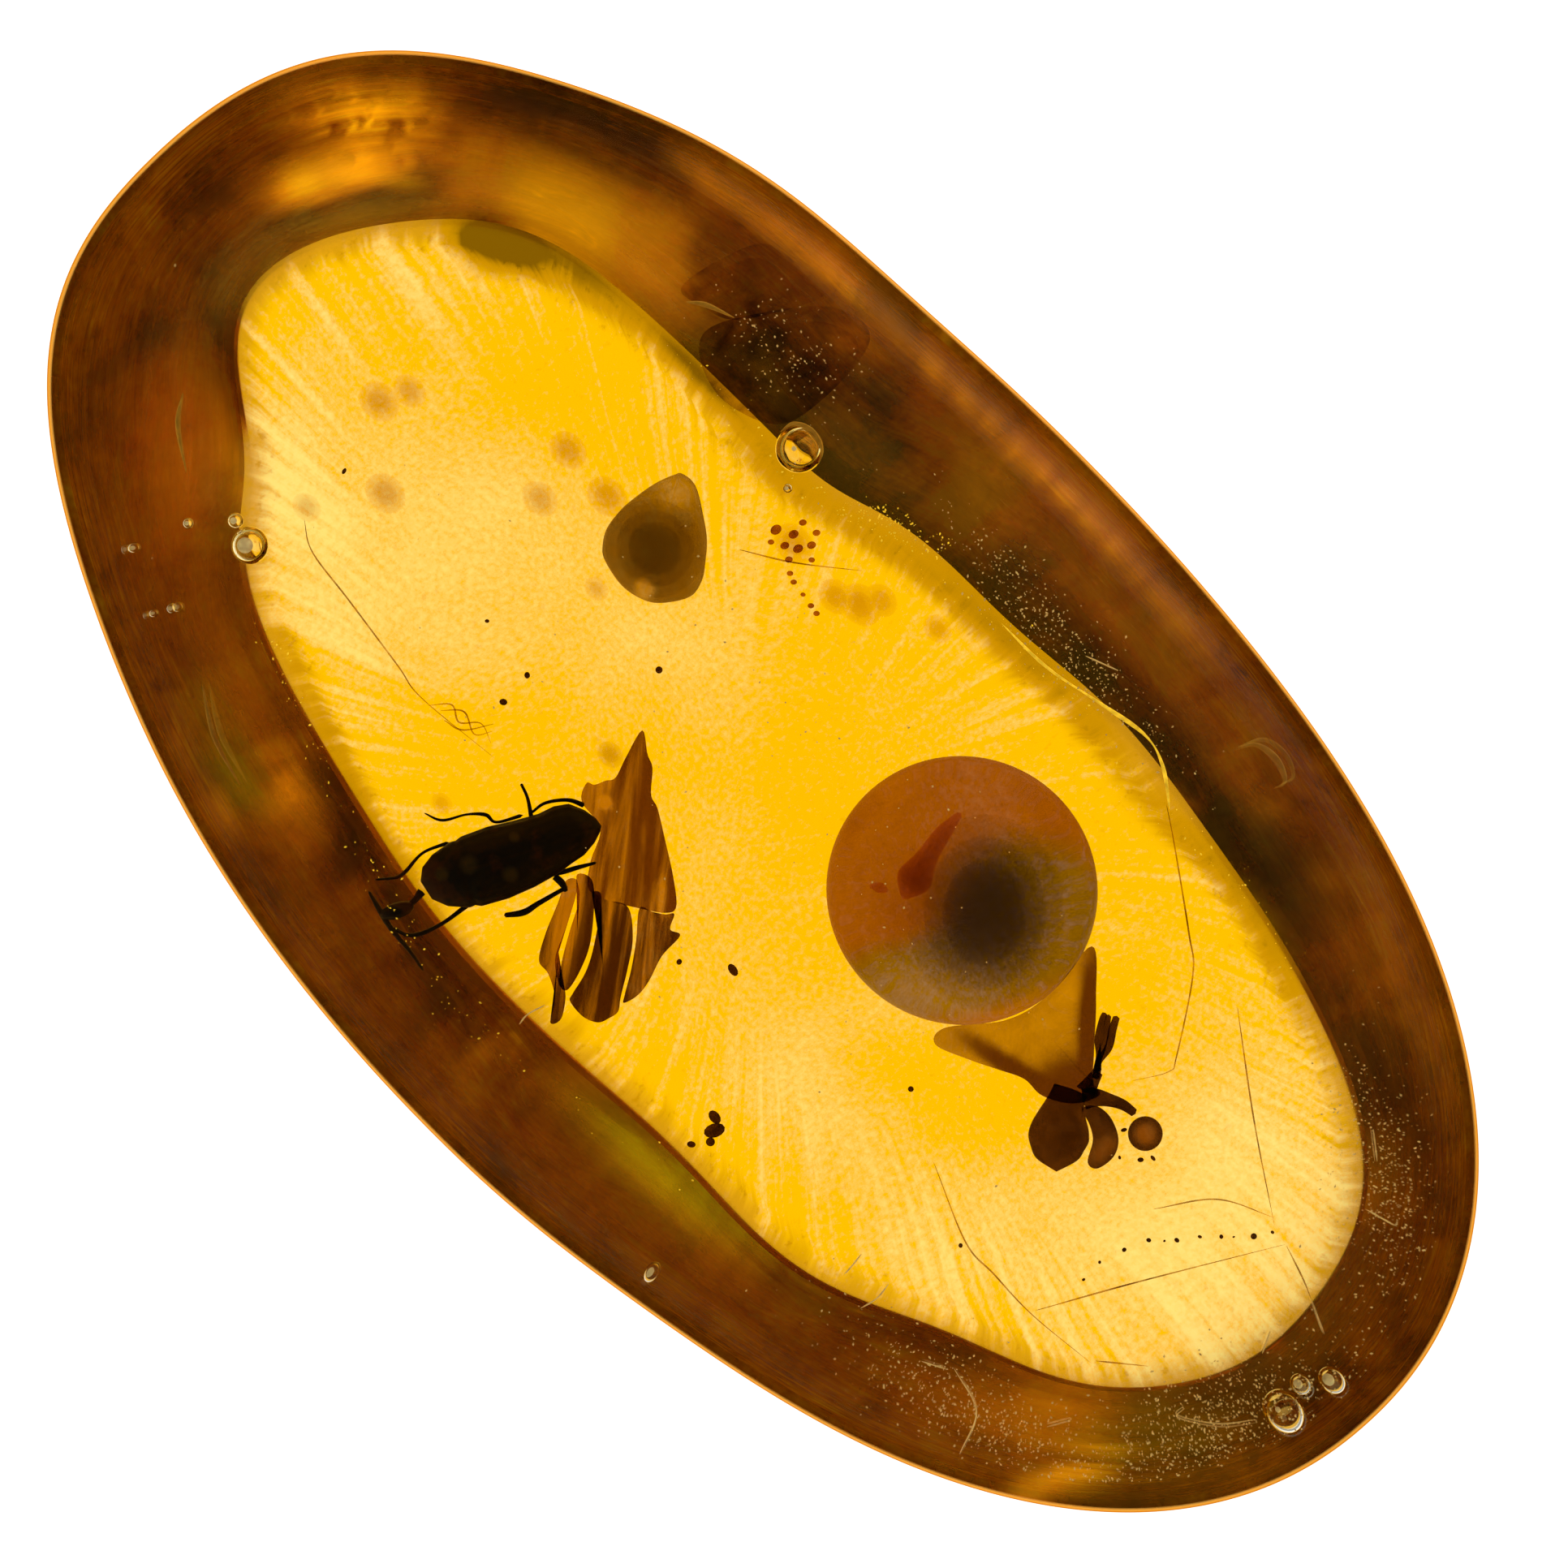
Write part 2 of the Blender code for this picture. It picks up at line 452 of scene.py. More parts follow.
def strandGrid(path, widths, flatness=1.0, around=12):
    # an ellipse carried along a path; the widths are half widths, spread evenly along it,
    # and flatness is the ellipse's height over its width
    path = np.array(path, float)
    along = np.gradient(path, axis=0)
    along /= np.linalg.norm(along, axis=1, keepdims=True)
    side = np.cross([0, 0, 1.0], along)
    side /= np.maximum(np.linalg.norm(side, axis=1, keepdims=True), 1e-6)
    up = np.cross(along, side)
    half = smoothPath(np.array(widths)[:, None], len(path))[:, :, None].clip(0)
    circle = np.linspace(0, 2 * np.pi, around, endpoint=False)[None, :, None]
    return path[:, None] + half * (np.cos(circle) * side[:, None] + flatness * np.sin(circle) * up[:, None])


def lensGrid(outline, level, thickness, rings=14, centre=None):
    # a flat body: the outline shrunk ring by ring to its centre, above and below, with a
    # height of thickness times the square root of 1 - share^2
    outline = np.array(outline, float)
    middle = outline.mean(axis=0) if centre is None else np.array(centre, float)
    turn = np.linspace(-np.pi / 2, np.pi / 2, 2 * rings + 1)
    share = np.cos(turn)[:, None, None]
    flat = middle + (outline[None] - middle) * share
    lift = level + thickness / 2 * np.sin(turn)[:, None] + 0 * flat[..., 0]
    return np.concatenate([flat, lift[..., None]], axis=-1)


def addPiece(name, points, faces, material, attributes=None, smooth=True):
    mesh = bpy.data.meshes.new(name)
    mesh.from_pydata((points * mm).tolist(), [], faces)
    for key, values in (attributes or {}).items():
        kind = "FLOAT" if values.ndim == 1 else "FLOAT_VECTOR"
        layer = mesh.attributes.new(key, kind, "POINT")
        layer.data.foreach_set("value" if values.ndim == 1 else "vector", values.astype(np.float32).ravel())
    if smooth:
        mesh.shade_smooth()
    mesh.materials.append(material)
    piece = bpy.data.objects.new(name, mesh)
    bpy.context.scene.collection.objects.link(piece)
    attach(piece, "root")
    return piece


# amber

amber = {
    "ior": 1.54,
    # absorption per metre
    "absorbColour": (0.96, 0.82, 0.0, 1), "absorbDensity": 250.0, "windowPale": (0.97, 0.84, 0.85, 1),
    "windowDeep": (0.91, 0.41, 0.0, 1),
    # soft spots where the flat face's tint is paler, as seen from above
    "paleSpots": (
        (-5.5, -0.9, 4.4, 1.7, 20, 0.34), (5.5, -2.6, 5.2, 1.0, 0, 0.24), (9.6, 0.4, 2.6, 2.8, 60, 0.46),
        (-8.6, 0.4, 1.6, 2.0, 0, 0.12), (-7.0, -2.4, 2.6, 0.7, -25, 0.3), (3.3, 1.5, 1.7, 1.5, 0, 0.18)),
    # painted shade on the flat face, and dark marks: up to 1 it turns to the first colour, from 1 to 2 to the
    # second
    "shadeColour": (0.36, 0.12, 0.0, 1), "shadeDeep": (0.05, 0.016, 0.0, 1), "deepStep": (0.9, 2),
    "shadeSpots": (
        (-8.55, 2.82, 0.62, 0.36, 40, 1.9), (-9.95, 2.62, 0.5, 0.3, 30, 1.0),
        (-10.45, 1.9, 1.1, 0.22, 62, 0.7), (-4.9, 3.9, 0.9, 0.35, 10, 1.3),
        (-1.94, -1.18, 0.25, 0.2, 0, 0.5)),
    "shadeLines": (
        (((-9.1, 2.95), (-8.2, 3.1), (-7.3, 3.65), (-6.5, 4.3)), 0.42, 1.0),
        (((-7.4, 3.2), (-6.2, 3.6), (-5.0, 3.9), (-3.2, 3.6)), 0.3, 0.5),
        (((-3.9, 3.3), (-2.2, 3.6), (-0.7, 4.0), (1.5, 4.25), (4.3, 4.0), (6.1, 4.1), (8.0, 3.4)), 0.25,
         0.7),
        (((-6.8, -3.3), (-5.4, -3.8), (-3.7, -4.4), (-2.4, -4.7), (-0.8, -5.0)), 0.16, 0.5)),
    "sideColour": (0.95, 0.36, 0.015, 1), "sideRoughness": 0.2, "specularTint": (0.5, 0.3, 0.15, 1),
    "girdleRoughness": 0.3, "girdleShade": 0.6, "wanderNoise": (1100, 3, 0.6),
    "grainNoise": (12000, 3, 0.7), "cloudNoise": (420, 3, 0.5), "gritNoise": (7500, 3, 0.6),
    "rayStretch": (34, 34, 1.2), "rayNoise": (1.0, 3, 0.6, 0.3), "wander": 0.3, "rimWander": 0.6,
    "grainShare": 1.3, "cloudShare": 0.9, "rayShare": 1.5, "rimShade": 0.78, "gritShade": 0.34,
    # where soft steps start and end: first in distance from the face's edge, then in noise
    # value, then in travel along the rings
    "faceStep": (-0.16, 0.28), "rayStep": (0.4, 2.2), "rimInnerStep": (-0.1, 0.32),
    "rimOuterStep": (-0.8, -0.3), "paleStep": (0.03, 0.86), "gritStep": (0.54, 0.74),
    "domeStep": (2.05, 2.14), "girdleStep": (1.95, 2.0), "sideStep": (1.99, 2.01), "wornStart": (1.9, 1.97),
    "wornEnd": (2.16, 2.48),
}


def amberMaterial():
    shop = Shop("amber")
    place = shop.place()
    sweep = shop.attribute("sweep", "Vector")
    travel = shop.parts(sweep)[2]
    edge = shop.attribute("edge")

    # the window's tint: grain, clouds, and rays that lead in from its edge
    wander = shop.noise(place, *amber["wanderNoise"])
    face = shop.step(edge + wander * amber["wander"], *amber["faceStep"])
    grain = shop.noise(place, *amber["grainNoise"])
    clouds = shop.noise(place, *amber["cloudNoise"])
    rays = shop.noise(shop.stretch(sweep, amber["rayStretch"]), *amber["rayNoise"])
    nearEdge = 1 - shop.step(edge, *amber["rayStep"])
    fleck = (grain - 0.5) * amber["grainShare"] + (clouds - 0.5) * amber["cloudShare"]
    fleck = fleck + (rays - 0.5) * nearEdge * amber["rayShare"] + shop.attribute("pale")
    window = shop.mix(shop.step(fleck, *amber["paleStep"]), amber["windowDeep"], amber["windowPale"])
    under = shop.mix(face, amber["sideColour"], window)

    # shade: placed marks, partly painted shade; painted shade over the window's rim; and the amber's own grit
    grit = shop.noise(place, *amber["gritNoise"])
    rim = 1 - shop.step(edge + (rays - 0.5) * amber["rimWander"], *amber["rimInnerStep"])
    rim = rim * shop.step(edge, *amber["rimOuterStep"])
    shade = shop.attribute("shade") + rim * amber["rimShade"]
    shade = shade + shop.step(grit, *amber["gritStep"]) * face * amber["gritShade"]
    under = shop.mix(shop.step(shade, 0, 1), under, amber["shadeColour"])
    under = shop.mix(shop.step(shade, *amber["deepStep"]), under, amber["shadeDeep"])

    # the dome is untinted, and the side and girdle are rougher than the rest
    below = 1 - shop.step(travel, *amber["domeStep"])
    onSide = (1 - shop.step(travel, *amber["sideStep"])) * (1 - face)
    onGirdle = shop.step(travel, *amber["girdleStep"]) * below
    # painted shade: the girdle's tint is drawn towards the shade colour, darkening a bright line of light
    # along it
    under = shop.mix(onGirdle * amber["girdleShade"], under, amber["shadeColour"])
    tint = shop.mix(below, (1, 1, 1, 1), under)
    polished = shop.principled(
        Base_Color=tint, Transmission_Weight=1.0, IOR=amber["ior"],
        Roughness=onSide * amber["sideRoughness"] + onGirdle * amber["girdleRoughness"],
        Specular_Tint=amber["specularTint"])
    # the widest edge is worn, so it shows the cloud behind it and little of the table
    worn = shop.principled(Base_Color=tint, Transmission_Weight=1.0, IOR=1.0, Roughness=0.0)
    wornShare = shop.step(travel, *amber["wornStart"]) * (1 - shop.step(travel, *amber["wornEnd"]))
    shader = shop.node("ShaderNodeMixShader", inputs={0: wornShare, 1: polished, 2: worn})
    return shop.close(shader, shop.absorb(amber["absorbColour"], amber["absorbDensity"]))


def addAmber():
    grid, sweep = nuggetRings()
    points, faces = closedShape(grid)
    onFace = sweep[:, 0, 2] < 1 + 2 * nugget["faceEdgeTravel"]
    pale, shade = np.zeros(grid.shape[:2]), np.zeros(grid.shape[:2])
    seen = unsink(grid[onFace])
    pale[onFace] = spotField(seen, amber["paleSpots"])
    shade[onFace] = spotField(seen, amber["shadeSpots"]) + lineField(seen, amber["shadeLines"])
    values = {"sweep": closedValues(sweep), "edge": closedValues(edgeDistance(grid, sweep)),
              "pale": closedValues(pale), "shade": closedValues(shade)}
    stone = addPiece("amberNugget", points, faces, amberMaterial(), values)
    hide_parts("amber")
    return stone


addAmber()
print("amber made")


# the clouded skin just inside the nugget's sides, which also glows: painted light on the rim

# paths as seen from above: the dark edge beyond the window, and a ridge on either side
farEdge = ((-5.08, 3.95), (-3.09, 3.8), (-0.74, 4.25), (1.52, 4.55), (4.27, 4.35), (6.06, 4.35))
farRidge = ((-0.37, 5.46), (1.08, 5.57), (2.86, 5.52), (4.31, 5.29), (5.94, 4.72))
nearRidge = ((-7.35, -4.66), (-5.76, -5.32), (-4.01, -5.8), (-1.74, -6.22), (0.39, -6.49))
skin = {
    "from": 1.02, "to": 1.985, "outerDepth": 0.05, "innerDepth": 0.17,
    "stops": (
        (0.0, (0.05, 0.018, 0.001)), (0.3, (0.26, 0.09, 0.004)), (0.55, (0.7, 0.3, 0.008)),
        (0.8, (1.0, 0.55, 0.012)), (1.0, (1.0, 0.82, 0.05))),
    "thinnest": 0.3, "thickest": 0.75, "thickStep": (0.3, 0.7), "thickThreads": 0.6, "thickBlots": 0.4,
    "threadStretch": (6, 6, 34), "threadNoise": (1.0, 4, 0.62, 0.6), "blotNoise": (480, 5, 0.66, 0.8),
    "gritNoise": (2600, 4, 0.7), "crumbScale": 1500, "crumbStep": (0.1, 0.35), "threadShare": 1.6,
    "blotShare": 1.8, "gritShare": 0.7, "crumbShare": 0.25, "threadLeakStep": (0.55, 0.75),
    "blotLeakStep": (0.48, 0.68), "leakShare": 0.3, "glowLeast": 0.4, "glowBlots": 0.9, "glowThreads": 0.3,
    "tone": 0.55,
    # painted glows, lighter tone for light coming through, then dark marks, as seen from above
    "toneSpots": (
        (-11.41, 3.0, 1.1, 0.36, 44, 0.75), (-10.88, 1.82, 1.05, 0.42, 62, 0.75),
        (-8.08, 3.88, 2.4, 0.8, 20, 0.45), (10.68, -3.7, 1.1, 0.16, 56, 0.6),
        (-9.54, -2.65, 1.5, 0.75, 130, 0.22), (8.4, 4.85, 1.9, 0.75, -16, 0.22),
        (3.38, -4.68, 2.5, 0.5, 9, 0.22), (-5.84, -5.22, 1.1, 0.5, -14, 0.25),
        (-11.1, 2.7, 1.3, 0.1, 46, -0.6), (-10.41, 1.61, 1.3, 0.17, 64, -0.45),
        (-8.78, 2.72, 0.5, 0.24, 46, -0.8), (-8.87, 4.97, 1.7, 0.45, 20, -0.75),
        (0.5, 5.7, 4.5, 0.7, 0, 0.32), (-5.68, 4.99, 0.75, 0.45, 10, -0.2),
        (-5.03, 4.27, 1.4, 0.65, 10, -0.15), (11.32, -1.48, 2.3, 0.9, 80, -0.4),
        (8.94, 3.16, 2.6, 0.45, -22, -0.3), (4.07, 4.69, 2.0, 0.5, -8, -0.15),
        (-11.05, -1.61, 0.6, 0.45, 60, -0.35), (-7.39, -5.15, 0.35, 0.2, -35, -0.5),
        (1.07, -6.33, 0.22, 0.14, 0, -0.6), (-0.86, 5.73, 0.34, 0.24, 0, 0.35),
        (0.54, 6.27, 0.36, 0.2, 0, 0.4), (-1.91, 5.95, 0.3, 0.22, 0, 0.3), (2.6, 5.94, 0.34, 0.2, 0, 0.3),
        (-0.9, 5.0, 0.9, 0.35, 0, 0.45), (9.4, 4.4, 1.3, 0.6, -30, -0.35), (8.8, -4.9, 1.1, 0.3, 20, 0.2),
        (3.2, 5.5, 0.9, 0.3, -5, -0.15), (-2.4, -6.3, 1.6, 0.3, -5, 0.12),
        (-1.43, 5.63, 0.34, 0.24, 0, 0.4), (-0.77, 5.74, 0.26, 0.2, 20, 0.35),
        (1.17, 5.91, 0.34, 0.24, 0, 0.4), (1.68, 6.16, 0.28, 0.2, 0, 0.35),
        (2.53, 6.46, 0.34, 0.16, 0, 0.4), (4.81, 5.75, 0.5, 0.26, 0, 0.4), (-3.2, 5.3, 0.5, 0.3, 10, -0.3),
        (0.2, 5.0, 0.6, 0.25, 0, -0.3), (8.9, 3.9, 0.8, 0.4, -20, -0.25), (10.9, 1.9, 0.7, 0.4, -50, 0.25),
        (9.9, -3.4, 1.8, 0.7, 25, 0.4), (6.6, -4.6, 1.5, 0.4, 10, 0.15), (-6.8, -4.4, 2.6, 0.8, -25, 0.32),
        (-2.4, -5.6, 2.4, 0.5, -8, 0.12), (4.2, -5.7, 2.4, 0.4, 6, 0.15)),
    # path as seen from above, width, amount
    "toneLines": (
        (((-11.0, -0.6), (-9.54, -1.42), (-7.91, -2.27), (-6.23, -3.27), (-4.55, -3.87)), 0.16, -0.4),
        (((-6.77, -3.59), (-5.4, -4.02), (-3.65, -4.67), (-2.43, -4.95), (-0.84, -5.3), (0.59, -5.2)), 0.14,
         -0.45),
        (((-10.9, -1.0), (-9.5, -1.75), (-7.9, -2.62), (-6.3, -3.62), (-4.7, -4.3)), 0.1, 0.5),
        ((*nearRidge, (2.05, -6.3)), 0.09, 0.5),
        (((-8.93, -3.41), (-7.92, -4.09), (-6.66, -4.68), (-5.12, -5.17), (-3.07, -5.64), (-0.93, -6.03)),
         0.1, -0.35),
        (((-2.55, -6.14), (0.09, -6.35), (2.39, -6.23), (4.94, -6.01), (7.48, -5.46)), 0.1, 0.45),
        (farRidge, 0.11, 0.5), (((5.25, 5.05), (6.79, 4.57), (7.99, 4.42)), 0.14, -0.4),
        (((6.11, 4.55), (6.27, 5.07), (6.95, 5.25), (7.72, 5.01), (8.16, 4.42)), 0.22, -0.45),
        (farEdge, 0.45, -0.28),
        (((-10.98, 0.69), (-10.84, 1.58), (-10.28, 2.47), (-9.66, 2.85)), 0.17, -0.5),
        (((8.2, -3.9), (10.2, -3.2), (11.7, -1.9)), 0.12, -0.25),
        (((7.6, -4.6), (9.9, -4.3), (11.6, -3.0)), 0.1, 0.3)),
    "greenSpots": (
        (3.38, -4.68, 2.6, 0.5, 9, 1.1), (-5.84, -5.22, 1.3, 0.45, -14, 1.0),
        (-8.08, 3.88, 2.4, 0.8, 20, 0.5), (11.32, -1.48, 2.6, 1.0, 80, 0.6),
        (-10.88, 1.82, 1.0, 0.4, 62, 0.4), (-9.54, -2.65, 1.6, 0.8, 130, -1.0),
        (-6.1, -5.1, 1.2, 0.25, -28, 0.9), (7.2, 4.1, 1.2, 0.6, -10, -0.6),
        (10.8, 3.0, 1.2, 0.5, -50, -0.6), (9.9, -3.0, 2.2, 0.8, 25, 0.3), (-4.6, 4.8, 1.3, 0.9, 10, 0.5)),
    "glowStops": (
        (0.0, (0.0, 0.0, 0.0)), (0.35, (0.27, 0.1, 0.002)), (0.7, (0.76, 0.3, 0.003)),
        (1.0, (1.2, 0.62, 0.006))),
    # painted light: an emission for light that reaches the skin from below and shines through it
    "glowSpots": (
        (-11.41, 3.0, 1.1, 0.34, 44, 1.15), (-10.88, 1.82, 1.05, 0.4, 62, 0.88),
        (-11.18, 1.28, 0.35, 0.3, 60, 0.4), (-8.08, 3.88, 2.6, 0.8, 20, 0.5),
        (10.68, -3.7, 1.0, 0.14, 56, 0.6), (-9.54, -2.65, 1.3, 0.5, 130, 0.13),
        (8.4, 4.85, 1.9, 0.55, -16, 0.16), (3.38, -4.68, 2.6, 0.3, 9, 0.22),
        (-4.64, -4.93, 0.6, 0.3, -20, 0.3), (-5.84, -5.22, 1.0, 0.2, -14, 0.12),
        (-11.1, 2.7, 1.3, 0.1, 46, -0.9), (-10.41, 1.61, 1.3, 0.2, 64, -0.9),
        (-8.78, 2.72, 0.5, 0.26, 46, -1.0), (-5.68, 4.99, 0.8, 0.5, 10, -0.8),
        (-4.85, -4.99, 0.4, 0.22, -60, 0.3), (-0.09, -5.51, 0.2, 0.15, 0, 0.25),
        (-5.44, -6.02, 0.4, 0.12, -25, 0.25), (5.42, 5.22, 0.3, 0.2, 0, 0.25),
        (6.78, 5.25, 0.3, 0.2, 0, 0.25), (10.4, 2.59, 0.7, 0.3, -50, 0.3), (-0.89, 6.3, 0.4, 0.15, 0, 0.25),
        (-3.86, 5.66, 0.5, 0.2, 20, 0.3), (-8.9, 5.0, 1.7, 0.42, 20, -0.55),
        (10.2, -2.9, 2.4, 0.8, 35, 0.34), (11.6, 0.2, 1.6, 0.5, 85, 0.14),
        (-6.2, -4.3, 2.2, 0.5, -25, 0.1)),
    "glowLines": (
        (((-8.2, 5.55), (-7.18, 5.95), (-5.93, 6.2), (-4.72, 6.36), (-3.32, 6.45), (-1.8, 6.52),
          (-0.08, 6.58), (1.61, 6.54), (3.36, 6.44)), 0.16, 0.62),
        (((-9.4, -1.8), (-7.9, -2.66), (-6.3, -3.66), (-4.7, -4.34)), 0.08, 0.14), (nearRidge, 0.08, 0.12),
        (farRidge, 0.09, 0.12),
        (((-6.98, -4.72), (-6.21, -5.1), (-5.33, -5.34), (-4.73, -5.46)), 0.1, 0.45),
        (((0.96, -4.9), (1.88, -4.9), (2.7, -4.95), (3.89, -4.92), (4.99, -4.75)), 0.26, 0.58),
        (((-9.9, -1.6), (-9.0, -2.2), (-8.1, -2.6)), 0.1, 0.25),
        (((-5.6, -4.6), (-5.0, -4.8), (-4.4, -4.9)), 0.1, 0.25)),
    # where the cloud is thicker than elsewhere
    "coverSpots": ((-2.6, 4.84, 1.3, 0.7, 10, 0.4),), "coverLines": ((farEdge, 0.6, 0.35),),
    "green": (0.68, 1.0, 0.6, 1), "red": (1.0, 0.6, 0.6, 1), "greenGlow": (0.5, 1.0, 0.6, 1),
    "greenGlowStep": (0.2, 1),
}


def skinMaterial():
    # tone and noise choose the colour, thickness chooses the alpha, and glow chooses an emission that is
    # painted light
    shop = Shop("cloudedSkinWithPaintedGlow")
    place = shop.place()
    sweep = shop.attribute("sweep", "Vector")
    green = shop.attribute("green")
    threads = shop.noise(shop.stretch(sweep, skin["threadStretch"]), *skin["threadNoise"])
    blots = shop.noise(place, *skin["blotNoise"])
    grit = shop.noise(place, *skin["gritNoise"])
    crumbs = 1 - shop.step(shop.cells(place, skin["crumbScale"]), *skin["crumbStep"])
    tone = shop.attribute("tone") + (threads - 0.5) * skin["threadShare"] + (blots - 0.5) * skin["blotShare"]
    tone = tone + (grit - 0.5) * skin["gritShare"] - crumbs * skin["crumbShare"]
    colour = shop.ramp(tone, skin["stops"])
    colour = shop.mix(shop.step(green, 0, 1), colour, skin["green"], "MULTIPLY")
    colour = shop.mix(shop.step(0 - green, 0, 1), colour, skin["red"], "MULTIPLY")
    thickness = threads * skin["thickThreads"] + blots * skin["thickBlots"] + shop.attribute("cover")
    thick = shop.step(thickness, *skin["thickStep"])
    cover = skin["thinnest"] + (skin["thickest"] - skin["thinnest"]) * thick
    leak = shop.step(threads, *skin["threadLeakStep"]) * shop.step(blots, *skin["blotLeakStep"])
    patchy = skin["glowLeast"] + skin["glowBlots"] * blots + skin["glowThreads"] * (threads - 0.5)
    glow = shop.ramp(shop.attribute("glow") * patchy + leak * skin["leakShare"], skin["glowStops"])
    glow = shop.mix(shop.step(green, *skin["greenGlowStep"]), glow, skin["greenGlow"], "MULTIPLY")
    return shop.close(shop.principled(
        Base_Color=colour, Alpha=cover, Emission_Color=glow, Emission_Strength=1.0, Roughness=0.7,
        Specular_IOR_Level=0.1))


def addSkin():
    # the side's rings moved inwards along their normals, twice, and joined into a closed band
    grid, sweep = nuggetRings()
    band = (sweep[:, 0, 2] > skin["from"]) & (sweep[:, 0, 2] < skin["to"])
    grid, sweep = grid[band], sweep[band]
    up = np.gradient(grid, axis=0)
    onwards = np.roll(grid, -1, axis=1) - np.roll(grid, 1, axis=1)
    normal = np.cross(onwards, up)
    normal /= np.linalg.norm(normal, axis=-1, keepdims=True)
    outer, inner = grid - normal * skin["outerDepth"], grid - normal * skin["innerDepth"]
    closed = np.concatenate([outer, inner[::-1]])
    seen = unsink(inner)
    values = {"sweep": np.concatenate([sweep, sweep[::-1]]).reshape(-1, 3)}
    for name, level in (("tone", skin["tone"]), ("green", 0), ("glow", 0), ("cover", 0)):
        field = level + spotField(seen, skin[name + "Spots"]) + lineField(seen, skin.get(name + "Lines", ()))
        values[name] = np.concatenate([field, field[::-1]]).ravel()
    addPiece("cloudedSkinWithPaintedGlow", *wrappedShape(closed), skinMaterial(), values)


addSkin()
print("skin made")


# films: closed bodies sealed in the amber that bend light a little or not at all and tint it

films = {
    # detail, roughness and distortion of the mottle
    "noise": (4, 0.62, 0.5), "coolMottle": 0.5, "coolStep": (0.2, 0.8),
    # size and density of the balls of a murk, as shares of its own
    "murkBalls": ((1.0, 0.45), (0.78, 0.9), (0.54, 1.6)),
}


def filmMaterial(name, film):
    # the tint runs from dark to pale by the piece's own light value and a mottle of noise, and
    # from the warm pair to the cool pair by its cool value
    shop = Shop(name)
    where = shop.fibres(shop.place(), film.get("fibreLength", 1), film.get("fibreTurn", 0))
    mottle = shop.noise(where, film["scale"], *films["noise"])
    light = shop.step(shop.attribute("light") + (mottle - 0.5) * film["mottle"], 0, 1)
    colour = shop.mix(light, film["dark"], film["pale"])
    if "coolDark" in film:
        cool = shop.step(shop.attribute("cool") + (mottle - 0.5) * films["coolMottle"], *films["coolStep"])
        colour = shop.mix(cool, colour, shop.mix(light, film["coolDark"], film["coolPale"]))
    shader = shop.principled(
        Base_Color=colour, Transmission_Weight=1.0, IOR=film.get("ior", 1.0), Roughness=0.0)
    volume = shop.absorb(*film["absorb"]) if "absorb" in film else None
    return shop.close(shader, volume)


def addFilm(name, grids, film):
    # grids are placed as seen from above and then sunk into the nugget; the light and cool
    # values come from soft spots in the same seen places
    material = filmMaterial(name, film)
    shapes, lights, cools = [], [], []
    for grid in grids:
        shapes.append(closedShape(sink(grid)))
        lights.append(closedValues(film["light"] + spotField(grid, film.get("lightSpots", ()))))
        cools.append(closedValues(spotField(grid, film.get("coolSpots", ()))))
    values = {"light": np.concatenate(lights), "cool": np.concatenate(cools)}
    return addPiece(name, *joinShapes(shapes), material, values)


def addMurk(name, centre, radii, turn, film):
    # a dark cloud with a soft edge: balls of absorbing haze one inside another, denser inwards
    colour, density = film["absorb"]
    for size, strength in films["murkBalls"]:
        ball = ballGrid(centre, [radius * size for radius in radii], rows=28, around=44, turn=turn)
        addFilm(name + str(round(size * 100)), [ball], {**film, "absorb": (colour, density * strength)})


def strands(paths, level, flatness=1.0, around=10, count=36):
    # one strand for each path of x and y places and its half widths
    grids = []
    for path, widths in paths:
        corners = np.array([(x, y, level) for x, y in path])
        grids.append(strandGrid(smoothPath(corners, count), widths, flatness, around))
    return grids


# the beetle

